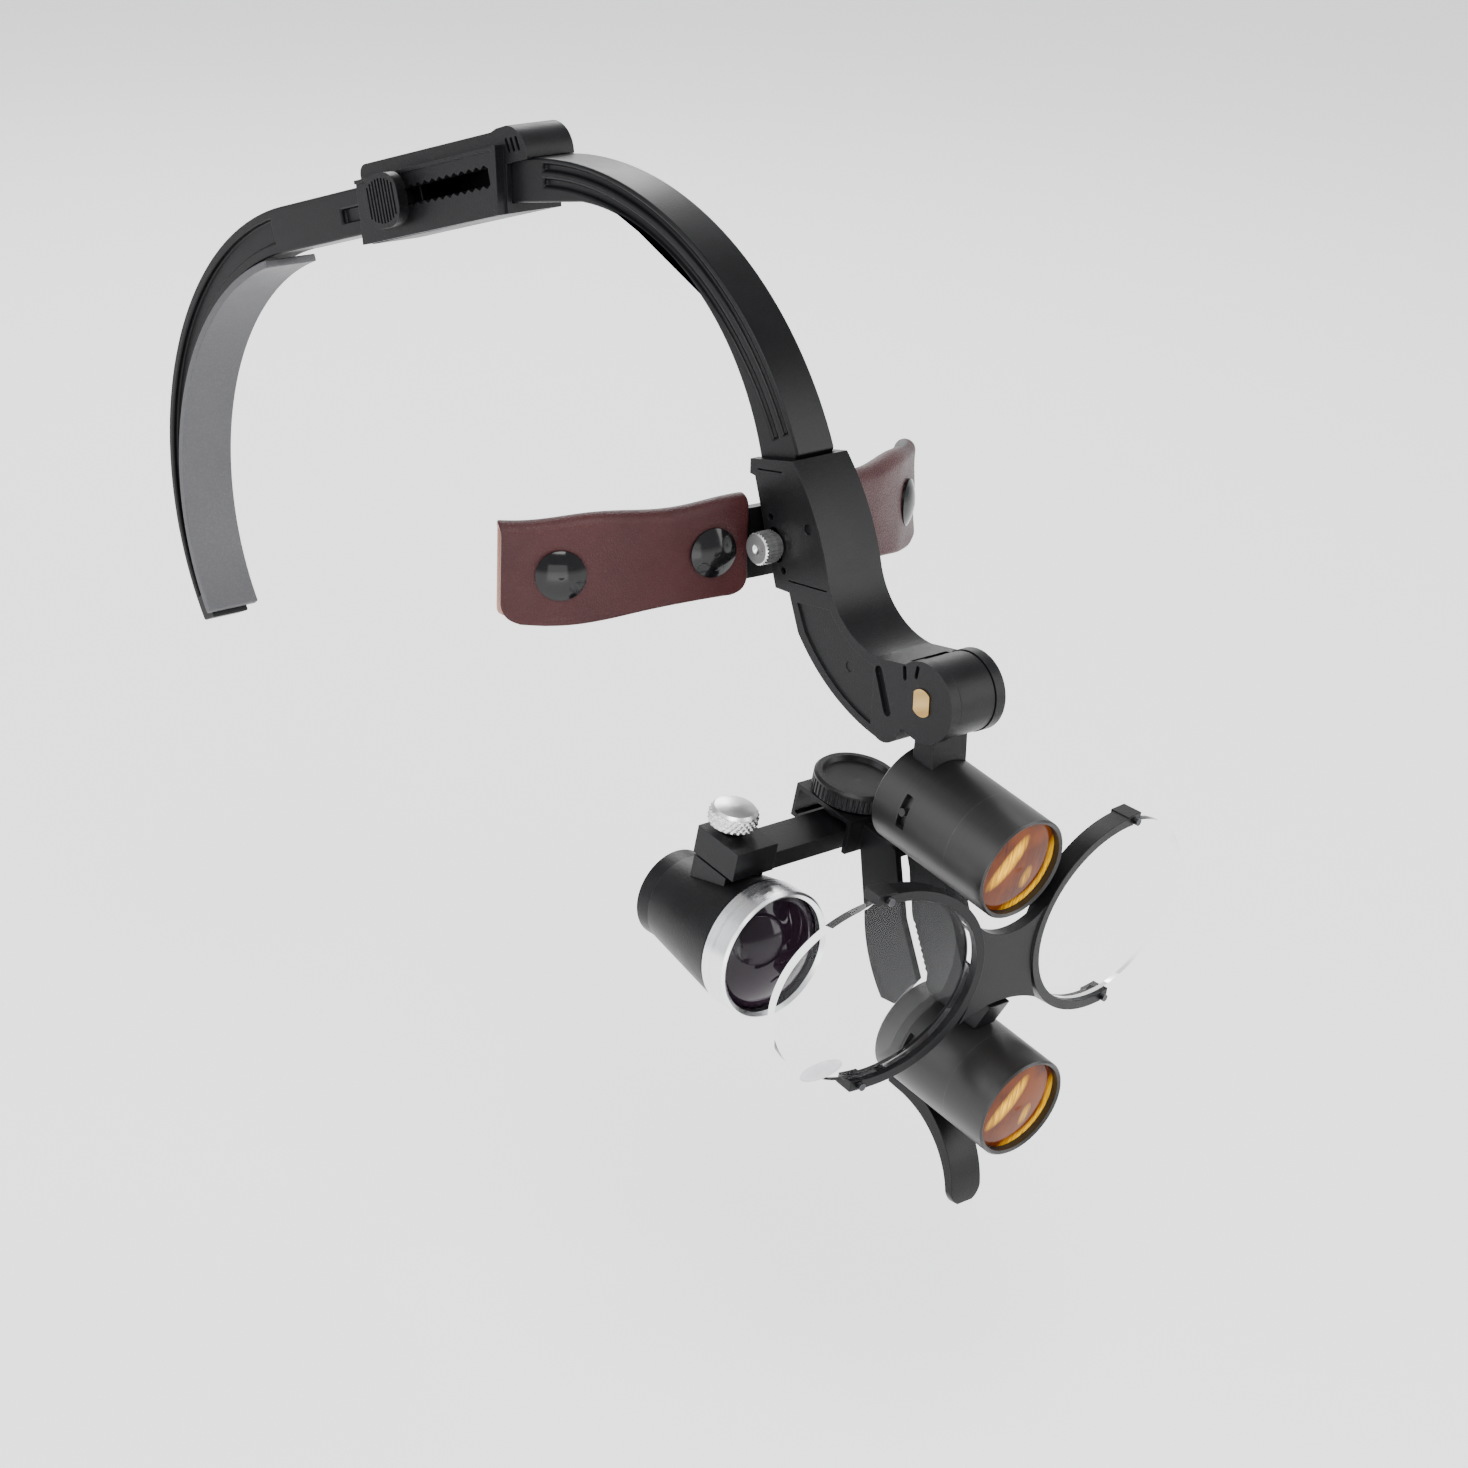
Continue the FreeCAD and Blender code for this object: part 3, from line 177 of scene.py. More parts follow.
def makeMouldGrain():
    # fine spark texture of a mould, with a soft cloud of handling marks
    group, start, end = newGroup(
        "mouldGrain",
        [("Grain", "NodeSocketFloat", 4200.0), ("Cloud", "NodeSocketFloat", 55.0)],
        [("Height", "NodeSocketFloat"), ("Smudge", "NodeSocketFloat"), ("Tone", "NodeSocketFloat")],
    )
    coords = addNode(group, "ShaderNodeTexCoord")
    fine = addNode(group, "ShaderNodeTexNoise")
    plug(group, coords.outputs["Object"], fine.inputs["Vector"])
    plug(group, start.outputs["Grain"], fine.inputs["Scale"])
    fine.inputs["Detail"].default_value = 2.0
    cloud = addNode(group, "ShaderNodeTexNoise")
    plug(group, coords.outputs["Object"], cloud.inputs["Vector"])
    plug(group, start.outputs["Cloud"], cloud.inputs["Scale"])
    cloud.inputs["Detail"].default_value = 6.0
    cloud.inputs["Roughness"].default_value = 0.6
    pitShadeMask = addNode(group, "ShaderNodeTexVoronoi")
    plug(group, coords.outputs["Object"], pitShadeMask.inputs["Vector"])
    pitShadeMask.inputs["Scale"].default_value = 2600.0
    shallow = mathNode(group, "MULTIPLY", pitShadeMask.outputs["Distance"], 0.6)
    mixed = mathNode(group, "ADD", fine.outputs["Fac"], shallow)
    plug(group, mixed, end.inputs["Height"])
    plug(group, rangeNode(group, cloud.outputs["Fac"], 0.36, 0.68, 0.0, 1.0), end.inputs["Smudge"])
    plug(group, fine.outputs["Fac"], end.inputs["Tone"])
    return group


def makeTurning():
    # rings left by a lathe, running round the given axis
    group, start, end = newGroup(
        "turning",
        [("Axis", "NodeSocketVector", (0.0, 1.0, 0.0)), ("Rings", "NodeSocketFloat", 6000.0)],
        [("Height", "NodeSocketFloat"), ("Streak", "NodeSocketFloat")],
    )
    coords = addNode(group, "ShaderNodeTexCoord")
    along = addNode(group, "ShaderNodeVectorMath", operation="DOT_PRODUCT")
    plug(group, coords.outputs["Object"], along.inputs[0])
    plug(group, start.outputs["Axis"], along.inputs[1])
    phase = mathNode(group, "MULTIPLY", along.outputs["Value"], start.outputs["Rings"])
    rings = addNode(group, "ShaderNodeTexNoise", noise_dimensions="1D")
    plug(group, phase, rings.inputs["W"])
    rings.inputs["Scale"].default_value = 1.0
    rings.inputs["Detail"].default_value = 2.0
    wide = addNode(group, "ShaderNodeTexNoise", noise_dimensions="1D")
    plug(group, mathNode(group, "MULTIPLY", phase, 0.12), wide.inputs["W"])
    wide.inputs["Scale"].default_value = 1.0
    plug(group, rings.outputs["Fac"], end.inputs["Height"])
    plug(group, rangeNode(group, wide.outputs["Fac"], 0.35, 0.65, 0.0, 1.0), end.inputs["Streak"])
    return group


def makeHide():
    # pebbled leather: small cells, wandering creases and slow colour drift
    group, start, end = newGroup(
        "hide",
        [("Pebble", "NodeSocketFloat", 1500.0), ("Crease", "NodeSocketFloat", 160.0)],
        [("Height", "NodeSocketFloat"), ("PitShade", "NodeSocketFloat"), ("Drift", "NodeSocketFloat")],
    )
    coords = addNode(group, "ShaderNodeTexCoord")
    cells = addNode(group, "ShaderNodeTexVoronoi", feature="DISTANCE_TO_EDGE")
    plug(group, coords.outputs["Object"], cells.inputs["Vector"])
    plug(group, start.outputs["Pebble"], cells.inputs["Scale"])
    creases = addNode(group, "ShaderNodeTexNoise", noise_type="RIDGED_MULTIFRACTAL")
    plug(group, coords.outputs["Object"], creases.inputs["Vector"])
    plug(group, start.outputs["Crease"], creases.inputs["Scale"])
    creases.inputs["Detail"].default_value = 5.0
    drift = addNode(group, "ShaderNodeTexNoise")
    plug(group, coords.outputs["Object"], drift.inputs["Vector"])
    drift.inputs["Scale"].default_value = 45.0
    drift.inputs["Detail"].default_value = 4.0
    grain = rangeNode(group, cells.outputs["Distance"], 0.0, 0.25, 0.0, 1.0)
    fold = rangeNode(group, creases.outputs["Fac"], 0.3, 1.4, 0.0, 0.6)
    plug(group, mathNode(group, "SUBTRACT", grain, fold), end.inputs["Height"])
    # painted shade mask: darker in the grooves between pebbles
    plug(group, rangeNode(group, cells.outputs["Distance"], 0.0, 0.08, 1.0, 0.0), end.inputs["PitShade"])
    plug(group, rangeNode(group, drift.outputs["Fac"], 0.35, 0.65, 0.0, 1.0), end.inputs["Drift"])
    return group


edgeWearAndHighlight = makeEdgeWearAndHighlight()
mouldGrain = makeMouldGrain()
turning = makeTurning()
hide = makeHide()
print("visor: shared effects ready")


def addBump(tree, shader, height, strength, distance, normal=None):
    bump = addNode(tree, "ShaderNodeBump")
    bump.inputs["Strength"].default_value = strength
    bump.inputs["Distance"].default_value = distance
    plug(tree, height, bump.inputs["Height"])
    if normal is not None:
        plug(tree, normal, bump.inputs["Normal"])
    plug(tree, bump.outputs["Normal"], shader.inputs["Normal"])
    return bump


# ---- moulded plastics and painted metals

def makeMoulded(name, spec):
    material, tree, shader = newMaterial(name)
    grain = useGroup(tree, mouldGrain, Grain=spec["grain"], Cloud=spec["cloud"])
    wearAndHighlight = useGroup(tree, edgeWearAndHighlight, Radius=spec["edgeRadius"], Amount=spec["wearAndHighlight"])
    base = mixColor(tree, grain.outputs["Smudge"], spec["dark"], spec["light"])
    specks = rangeNode(tree, grain.outputs["Tone"], 0.45, 0.75, 0.0, 0.35)
    speckled = mixColor(tree, specks, base, spec["speck"])
    # edge colour: rubbed wear and painted edge highlight together
    wornAndLit = mixColor(tree, wearAndHighlight.outputs["Mask"], speckled, spec["edge"])
    plug(tree, wornAndLit, shader.inputs["Base Color"])
    rough = rangeNode(tree, grain.outputs["Smudge"], 0.0, 1.0, spec["rough"][0], spec["rough"][1])
    plug(tree, rough, shader.inputs["Roughness"])
    shader.inputs["Metallic"].default_value = spec.get("metal", 0.0)
    shader.inputs["Specular IOR Level"].default_value = spec.get("specular", 0.5)
    shader.inputs["Coat Weight"].default_value = spec.get("coat", 0.0)
    shader.inputs["Coat Roughness"].default_value = 0.35
    addBump(tree, shader, grain.outputs["Height"], spec["bump"], 0.00006)
    return material


# each edge colour below is rubbed wear and painted edge highlight together
bandPlastic = {
    "grain": 3800.0, "cloud": 38.0, "edgeRadius": 0.0005, "wearAndHighlight": 0.3, "dark": (0.0025, 0.0025, 0.0029),
    "light": (0.0048, 0.0048, 0.0055), "speck": (0.009, 0.009, 0.010), "edge": (0.025, 0.025, 0.027),
    "rough": (0.30, 0.42), "bump": 0.3, "specular": 0.16,
}
housingPlastic = {
    "grain": 4600.0, "cloud": 60.0, "edgeRadius": 0.0004, "wearAndHighlight": 0.4, "dark": (0.0028, 0.0028, 0.0032),
    "light": (0.0054, 0.0054, 0.0061), "speck": (0.012, 0.012, 0.0135), "edge": (0.035, 0.035, 0.038),
    "rough": (0.34, 0.46), "bump": 0.5, "specular": 0.17,
}
carrierPaint = {
    "grain": 3000.0, "cloud": 70.0, "edgeRadius": 0.0003, "wearAndHighlight": 0.4, "dark": (0.0026, 0.0026, 0.003),
    "light": (0.0046, 0.0046, 0.0053), "speck": (0.009, 0.009, 0.0105), "edge": (0.035, 0.035, 0.037),
    "rough": (0.30, 0.42), "bump": 0.35, "specular": 0.17,
}
knobPlastic = {
    "grain": 3400.0, "cloud": 80.0, "edgeRadius": 0.00025, "wearAndHighlight": 0.5, "dark": (0.0035, 0.0035, 0.0039),
    "light": (0.0068, 0.0068, 0.0075), "speck": (0.014, 0.014, 0.0155), "edge": (0.05, 0.05, 0.054),
    "rough": (0.32, 0.44), "bump": 0.35, "specular": 0.2,
}
liningPlastic = {
    "grain": 1800.0, "cloud": 45.0, "edgeRadius": 0.0004, "wearAndHighlight": 0.2, "dark": (0.035, 0.035, 0.039),
    "light": (0.055, 0.055, 0.06), "speck": (0.08, 0.08, 0.085), "edge": (0.09, 0.09, 0.095),
    "rough": (0.42, 0.6), "bump": 0.3,
}
snapGloss = {
    "grain": 900.0, "cloud": 120.0, "edgeRadius": 0.0003, "wearAndHighlight": 0.15, "dark": (0.003, 0.003, 0.0034),
    "light": (0.005, 0.005, 0.0055), "speck": (0.006, 0.006, 0.0065), "edge": (0.02, 0.02, 0.02),
    "rough": (0.08, 0.16), "bump": 0.03, "specular": 0.32,
}
darkSteel = {
    "grain": 2600.0, "cloud": 90.0, "edgeRadius": 0.0002, "wearAndHighlight": 0.8, "dark": (0.03, 0.03, 0.032),
    "light": (0.06, 0.06, 0.065), "speck": (0.09, 0.09, 0.095), "edge": (0.3, 0.3, 0.31),
    "rough": (0.25, 0.4), "bump": 0.2, "metal": 1.0,
}


# ---- turned metals

def makeTurned(name, spec):
    material, tree, shader = newMaterial(name)
    lathe = useGroup(tree, turning, Axis=spec["axis"], Rings=spec["rings"])
    grain = useGroup(tree, mouldGrain, Grain=spec["grain"], Cloud=spec["cloud"])
    wearAndHighlight = useGroup(tree, edgeWearAndHighlight, Radius=spec["edgeRadius"], Amount=spec["wearAndHighlight"])
    base = mixColor(tree, lathe.outputs["Streak"], spec["dark"], spec["light"])
    stained = mathNode(tree, "MULTIPLY", grain.outputs["Smudge"], spec["stain"])
    smudged = mixColor(tree, stained, base, spec["tarnish"])
    # edge colour: rubbed wear and painted edge highlight together
    wornAndLit = mixColor(tree, wearAndHighlight.outputs["Mask"], smudged, spec["edge"])
    plug(tree, wornAndLit, shader.inputs["Base Color"])
    shader.inputs["Metallic"].default_value = spec["metal"]
    shader.inputs["Specular IOR Level"].default_value = 0.5
    total = mathNode(tree, "ADD", mathNode(tree, "MULTIPLY", lathe.outputs["Streak"], 0.5),
                     mathNode(tree, "MULTIPLY", grain.outputs["Smudge"], 0.5))
    rough = rangeNode(tree, total, 0.0, 1.0, spec["rough"][0], spec["rough"][1])
    plug(tree, rough, shader.inputs["Roughness"])
    addBump(tree, shader, lathe.outputs["Height"], spec["bump"], 0.00003)
    return material


# the edge colours below are rubbed wear and painted edge highlight together
anodisedBlack = {
    "axis": tuple(barrelAxis), "rings": 16000.0, "grain": 5200.0, "cloud": 60.0, "edgeRadius": 0.0003,
    "wearAndHighlight": 0.4, "dark": (0.0105, 0.0098, 0.0098), "light": (0.0125, 0.0118, 0.0118), "stain": 0.35,
    "tarnish": (0.0085, 0.008, 0.008), "edge": (0.085, 0.082, 0.08), "metal": 0.25,
    "rough": (0.37, 0.42), "bump": 0.1,
}
brightAluminium = {
    "axis": (0.0, 0.9954, 0.0958), "rings": 9000.0, "grain": 2200.0, "cloud": 90.0, "edgeRadius": 0.0003,
    "wearAndHighlight": 0.4, "dark": (0.83, 0.84, 0.86), "light": (0.91, 0.92, 0.93), "stain": 0.2,
    "tarnish": (0.72, 0.73, 0.76), "edge": (0.95, 0.95, 0.96), "metal": 1.0,
    "rough": (0.22, 0.32), "bump": 0.15,
}
brightSteel = {
    "axis": tuple(knobAxis), "rings": 8000.0, "grain": 1800.0, "cloud": 150.0, "edgeRadius": 0.0002,
    "wearAndHighlight": 0.5, "dark": (0.6, 0.6, 0.61), "light": (0.74, 0.74, 0.74), "stain": 0.2,
    "tarnish": (0.48, 0.48, 0.48), "edge": (0.88, 0.88, 0.88), "metal": 1.0,
    "rough": (0.24, 0.36), "bump": 0.15,
}
# the pad's screw is turned about the sideways axis
sideSteel = dict(brightSteel, axis=(1.0, 0.0, 0.0), stain=0.3)
machinedBrass = {
    "axis": (0.1, 0.3, 0.95), "rings": 2600.0, "grain": 1500.0, "cloud": 200.0, "edgeRadius": 0.00012,
    "wearAndHighlight": 0.25, "dark": (0.34, 0.21, 0.07), "light": (0.52, 0.35, 0.14), "stain": 0.3,
    "tarnish": (0.3, 0.2, 0.08), "edge": (0.85, 0.68, 0.38), "metal": 1.0,
    "rough": (0.26, 0.38), "bump": 0.25,
}


# ---- glass

def makeClearGlass(name, spec):
    # thin clear plastic: faint handling marks dull it a little
    material, tree, shader = newMaterial(name)
    smear = useGroup(tree, mouldGrain, Grain=1200.0, Cloud=70.0)
    tint = mixColor(tree, smear.outputs["Smudge"], spec["tint"], spec["smudged"])
    plug(tree, tint, shader.inputs["Base Color"])
    shader.inputs["Transmission Weight"].default_value = 1.0
    shader.inputs["Roughness"].default_value = 0.0
    shader.inputs["IOR"].default_value = spec["ior"]
    return material


def makeCoatedGlass(name, spec):
    # deep coloured coating with a painted purple reflection: the colour turns towards the rim, the
    # surface stays mirror smooth
    material, tree, shader = newMaterial(name)
    layer = addNode(tree, "ShaderNodeLayerWeight")
    layer.inputs["Blend"].default_value = 0.45
    smear = useGroup(tree, mouldGrain, Grain=900.0, Cloud=90.0)
    # painted coating reflection: lighter purple towards the rim
    colour = mixColor(tree, layer.outputs["Facing"], spec["centre"], spec["rim"])
    hazed = mixColor(tree, mathNode(tree, "MULTIPLY", smear.outputs["Smudge"], 0.2), colour, spec["haze"])
    plug(tree, hazed, shader.inputs["Base Color"])
    rough = rangeNode(tree, smear.outputs["Smudge"], 0.0, 1.0, 0.03, 0.08)
    plug(tree, rough, shader.inputs["Roughness"])
    shader.inputs["Transmission Weight"].default_value = spec["through"]
    shader.inputs["IOR"].default_value = 1.3
    shader.inputs["Coat Weight"].default_value = 0.1
    shader.inputs["Coat Roughness"].default_value = 0.02
    shader.inputs["Coat Tint"].default_value = (*spec["coatTint"], 1.0)
    return material


def makeAmber(name, spec):
    # amber coating with painted reflections in its colour and emission: a leaning flare, a weaker spot
    # and a bright crescent on the rim
    material, tree, shader = newMaterial(name)
    coords = addNode(tree, "ShaderNodeTexCoord")
    offset = addNode(tree, "ShaderNodeVectorMath", operation="SUBTRACT")
    plug(tree, coords.outputs["Object"], offset.inputs[0])
    offset.inputs[1].default_value = spec["middle"]

    def along(direction, length, shift):
        node = addNode(tree, "ShaderNodeVectorMath", operation="DOT_PRODUCT")
        plug(tree, offset.outputs["Vector"], node.inputs[0])
        node.inputs[1].default_value = direction / length
        return mathNode(tree, "SUBTRACT", node.outputs["Value"], shift / length)

    # painted highlight spot: bright inside a leaning ellipse
    def highlightSpot(direction, size, place):
        across = knobAxis * direction[0] - Vector((direction[1], 0, 0))
        main = Vector((direction[0], 0, 0)) + knobAxis * direction[1]
        centre = Vector((place[0], 0, 0)) + knobAxis * place[1]
        first = along(main, size[0], centre.dot(main))
        second = along(across, size[1], centre.dot(across))
        total = mathNode(tree, "ADD", mathNode(tree, "POWER", mathNode(tree, "ABSOLUTE", first), 2.0),
                         mathNode(tree, "POWER", mathNode(tree, "ABSOLUTE", second), 2.0))
        return rangeNode(tree, total, 0.1, 1.15, 1.0, 0.0)

    stretch = addNode(tree, "ShaderNodeMapping")
    stretch.inputs["Scale"].default_value = (1.0, 0.2, 0.09)
    plug(tree, coords.outputs["Object"], stretch.inputs["Vector"])
    stripes = addNode(tree, "ShaderNodeTexNoise")
    plug(tree, stretch.outputs["Vector"], stripes.inputs["Vector"])
    stripes.inputs["Scale"].default_value = spec["stripes"]
    stripes.inputs["Detail"].default_value = 4.0
    broad = addNode(tree, "ShaderNodeTexNoise")
    plug(tree, coords.outputs["Object"], broad.inputs["Vector"])
    broad.inputs["Scale"].default_value = 160.0
    # painted highlights: a leaning flare and a weaker spot
    flare = highlightSpot((0.62, 0.78), (0.0066, 0.0019), (-0.0032, 0.0016))
    second = mathNode(tree, "MULTIPLY", highlightSpot((0.2, 0.98), (0.0026, 0.0014), (0.0026, -0.0028)), 0.45)
    radius = addNode(tree, "ShaderNodeVectorMath", operation="LENGTH")
    plug(tree, offset.outputs["Vector"], radius.inputs[0])
    rim = rangeNode(tree, radius.outputs["Value"], 0.0074, 0.0090, 0.0, 1.0)
    lowerOuter = Vector((0.8, 0, 0)) - knobAxis * 0.6
    side = rangeNode(tree, along(lowerOuter, 1.0, 0.0), 0.0035, 0.0075, 0.0, 1.0)
    # painted glint: a crescent on the lower outer rim
    paintedCrescent = mathNode(tree, "MULTIPLY", rim, side)
    paintedHighlight = mathNode(tree, "MAXIMUM", mathNode(tree, "MAXIMUM", flare, second), paintedCrescent)
    comb = rangeNode(tree, stripes.outputs["Fac"], 0.36, 0.62, 0.35, 1.0)
    paintedHighlight = mathNode(tree, "MULTIPLY", paintedHighlight, comb, True)
    patches = rangeNode(tree, broad.outputs["Fac"], 0.35, 0.65, 0.0, 1.0)
    dim = mixColor(tree, patches, spec["brown"], spec["amber"])
    lines = rangeNode(tree, stripes.outputs["Fac"], 0.3, 0.7, 0.0, 0.5)
    shaded = mixColor(tree, lines, dim, spec["amber"])
    # painted highlights in yellow over the amber
    colour = mixColor(tree, paintedHighlight, shaded, spec["highlightYellow"])
    plug(tree, colour, shader.inputs["Base Color"])
    # painted glow, faint everywhere and strongest at the painted highlights
    plug(tree, mixColor(tree, paintedHighlight, spec["paintedGlow"], spec["highlightYellow"]), shader.inputs["Emission Color"])
    shader.inputs["Emission Strength"].default_value = spec["paintedGlowStrength"]
    shader.inputs["Roughness"].default_value = 0.12
    shader.inputs["Metallic"].default_value = 0.0
    shader.inputs["Specular IOR Level"].default_value = 0.12
    shader.inputs["Coat Weight"].default_value = 0.1
    shader.inputs["Coat Roughness"].default_value = 0.02
    return material


# ---- leather

def makeLeather(name, spec):
    material, tree, shader = newMaterial(name)
    skin = useGroup(tree, hide, Pebble=spec["pebble"], Crease=spec["crease"])
    wearAndHighlight = useGroup(tree, edgeWearAndHighlight, Radius=0.0006, Amount=0.35)
    base = mixColor(tree, skin.outputs["Drift"], spec["dark"], spec["light"])
    # painted shade in the grooves between pebbles
    pitShadeMask = mathNode(tree, "MULTIPLY", skin.outputs["PitShade"], spec["pitShadeAmount"])
    pitShaded = mixColor(tree, pitShadeMask, base, spec["pitShadeColour"])
    # rub colour: rubbed wear and painted edge highlight together
    wornAndLit = mixColor(tree, wearAndHighlight.outputs["Mask"], pitShaded, spec["rubAndHighlight"])
    plug(tree, wornAndLit, shader.inputs["Base Color"])
    plug(tree, rangeNode(tree, skin.outputs["Height"], -0.4, 1.0, spec["rough"][1], spec["rough"][0]),
         shader.inputs["Roughness"])
    shader.inputs["Specular IOR Level"].default_value = spec["specular"]
    shader.inputs["Sheen Weight"].default_value = spec["sheen"]
    shader.inputs["Sheen Roughness"].default_value = 0.5
    addBump(tree, shader, skin.outputs["Height"], spec["bump"], 0.00012)
    return material


# the rub colours are rubbed wear and painted edge highlight; the pit colours are painted shade in the
# grooves between pebbles
finishedLeather = {
    "pebble": 1700.0, "crease": 130.0, "dark": (0.026, 0.0040, 0.0047), "light": (0.040, 0.0070, 0.0078),
    "pitShadeColour": (0.016, 0.003, 0.004), "pitShadeAmount": 0.45, "rubAndHighlight": (0.10, 0.03, 0.028), "rough": (0.38, 0.56),
    "specular": 0.26, "sheen": 0.0, "bump": 0.4,
}
rawSuede = {
    "pebble": 2600.0, "crease": 420.0, "dark": (0.33, 0.17, 0.125), "light": (0.50, 0.30, 0.235),
    "pitShadeColour": (0.2, 0.09, 0.07), "pitShadeAmount": 0.5, "rubAndHighlight": (0.6, 0.42, 0.36), "rough": (0.8, 0.95),
    "specular": 0.2, "sheen": 0.4, "bump": 0.9,
}

lensPlastic = {"tint": (0.985, 0.99, 0.99), "smudged": (0.96, 0.967, 0.97), "ior": 1.16}
# the rim colour is a painted coating reflection
loupeCoating = {
    "centre": (0.004, 0.0025, 0.004), "rim": (0.022, 0.010, 0.020), "haze": (0.012, 0.008, 0.014),
    "through": 0.0, "coatTint": (0.95, 0.9, 0.97),
}

surface = {
    "band_plastic": makeMoulded("bandPlastic", bandPlastic),
    "housing_plastic": makeMoulded("housingPlastic", housingPlastic),
    "carrier_black": makeMoulded("carrierPaint", carrierPaint),
    "knob_plastic": makeMoulded("knobPlastic", knobPlastic),
    "soft_lining": makeMoulded("liningPlastic", liningPlastic),
    "snap_gloss": makeMoulded("snapGloss", snapGloss),
    "dark_steel": makeMoulded("darkSteel", darkSteel),
    "anodised_black": makeTurned("anodisedBlack", anodisedBlack),
    "bright_aluminium": makeTurned("brightAluminium", brightAluminium),
    "bright_steel": makeTurned("brightSteel", brightSteel),
    "brass": makeTurned("machinedBrass", machinedBrass),
    "clear_glass": makeClearGlass("clearGlass", lensPlastic),
    "coated_glass": makeCoatedGlass("coatedGlass", loupeCoating),
    "oxblood_leather": makeLeather("finishedLeather", finishedLeather),
}
suede = makeLeather("rawSuede", rawSuede)
screwSteel = makeTurned("sideSteel", sideSteel)
print("visor: %d materials made" % (len(surface) + 2))

# every hard part takes the finish of its slot; the boxy ones get real rounded edges
edgeRound = {
    "front_band": 0.0005, "rear_band": 0.0005, "crown_housing": 0.0004, "front_bracket": 0.00045,
    "hinge_knuckle": 0.0003, "lock_button": 0.00014, "pad_strip": 0.0003, "rear_pad": 0.0003,
    "bar_channel": 0.0002, "carrier_web": 0.0002, "bridge_block": 0.0003, "flip_handle": 0.0004,
    "lens_bridge": 0.0003, "pd_bar": 0.00025, "loupe_saddle": 0.0003,
}
slotOf = {item["node"]: item["material_slot"] for item in frame["record"]["subparts"]}


def dressNode(name, part):
    mesh = part.data
    mesh.materials.clear()
    mesh.materials.append(surface.get(slotOf[name], surface["housing_plastic"]))
    for polygon in mesh.polygons:
        polygon.use_smooth = True
    # turned parts and lenses keep their own exact normals and crisp edges
    if name not in edgeRound:
        return
    if "custom_normal" in mesh.attributes:
        mesh.attributes.remove(mesh.attributes["custom_normal"])
    weld = part.modifiers.new("weld", "WELD")
    weld.merge_threshold = 0.000002
    tidy = part.modifiers.new("flat faces", "DECIMATE")
    tidy.decimate_type = "DISSOLVE"
    tidy.angle_limit = math.radians(0.4)
    bevel = part.modifiers.new("round edges", "BEVEL")
    bevel.width = edgeRound[name]
    bevel.segments = 2
    bevel.limit_method = "ANGLE"
    bevel.angle_limit = math.radians(32)
    bevel.use_clamp_overlap = True
    bevel.harden_normals = False
    shade = part.modifiers.new("even shading", "WEIGHTED_NORMAL")
    shade.keep_sharp = True
    shade.weight = 50


for name, part in frame["nodes"].items():
    dressNode(name, part)

# yellow is the painted highlight colour; glow and lit make a painted glow
amberSpec = {
    "stripes": 2600.0, "paintedGlowStrength": 0.3, "brown": (0.035, 0.004, 0.0), "amber": (0.12, 0.024, 0.0),
    "highlightYellow": (0.90, 0.46, 0.0), "paintedGlow": (0.025, 0.004, 0.0),
}
for tag in ("upper", "lower"):
    low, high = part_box(tag + "_objective")
    middle = (low + high) / 2
    spec = dict(amberSpec, middle=tuple(middle))
    frame["nodes"][tag + "_objective"].data.materials.clear()
    frame["nodes"][tag + "_objective"].data.materials.append(makeAmber("amber_" + tag, spec))
frame["nodes"]["pad_thumbscrew"].data.materials.clear()
frame["nodes"]["pad_thumbscrew"].data.materials.append(screwSteel)
print("visor: hard parts dressed")


def linkMesh(name, mesh, materials):
    piece = bpy.data.objects.new(name, mesh)
    bpy.context.scene.collection.objects.link(piece)
    for material in materials:
        mesh.materials.append(material)
    for polygon in mesh.polygons:
        polygon.use_smooth = True
    return piece


# leather sleeves: one strip of hide folded over the spring strip, closed by two snaps each
sleeve = {
    "headRadius": 0.079,        # the face that touches the forehead
    "frontRadius": 0.0838,      # outer face of the front flap
    "thickness": 0.0013,
    "inner": 6.8, "outer": 41.6,  # degrees from straight ahead
    "foldTop": 0.0106,
    "backBottom": -0.0096,
    "frontBottom": -0.0096,
    "droop": {"right": 0.0025, "left": 0.0034},  # the outer end hangs lower
    "corner": 0.0042,
    "snaps": (12.4, 33.6),
    "snapReach": 4.6, "snapHeight": 0.0065,     # degrees and metres that a snap pulls in
    "puff": 0.0008, "puffAt": 23.0, "puffReach": 8.5,
    "flare": 0.0009,            # the front flap's lower edge stands off
    "backExtra": 0.012,         # the back flap runs this much further out, in radians
    "backCorner": 0.4,          # its corners are tighter, by this share
    "edgeRoll": 0.0007, "edgeDip": 0.0012, "edgeRise": 0.0011, "foldWander": 0.0004,
    "ripple": 0.00035,
    "across": 64, "along": 96,
}


def sleeveProfile(spec, step):
    # distance along the fold from the back's lower edge to the front flap's lower edge
    back = spec["headRadius"] + spec["thickness"]
    front = spec["frontRadius"]
    bend = (front - (spec["headRadius"])) / 2
    crown = spec["foldTop"] - bend
    backRun = crown - spec["backBottom"]
    foldRun = math.pi * bend
    frontRun = crown - spec["frontBottom"]
    total = backRun + foldRun + frontRun
    run = step * total
    middle = (spec["headRadius"] + front) / 2
    if run < backRun:
        return spec["headRadius"], spec["backBottom"] + run, total - run, total
    if run < backRun + foldRun:
        turn = (run - backRun) / bend
        return middle - bend * math.cos(turn), crown + bend * math.sin(turn), total - run, total
    down = run - backRun - foldRun
    return front, crown - down, total - run, total


def bell(value, centre, width):
    return math.exp(-((value - centre) / width) ** 2)


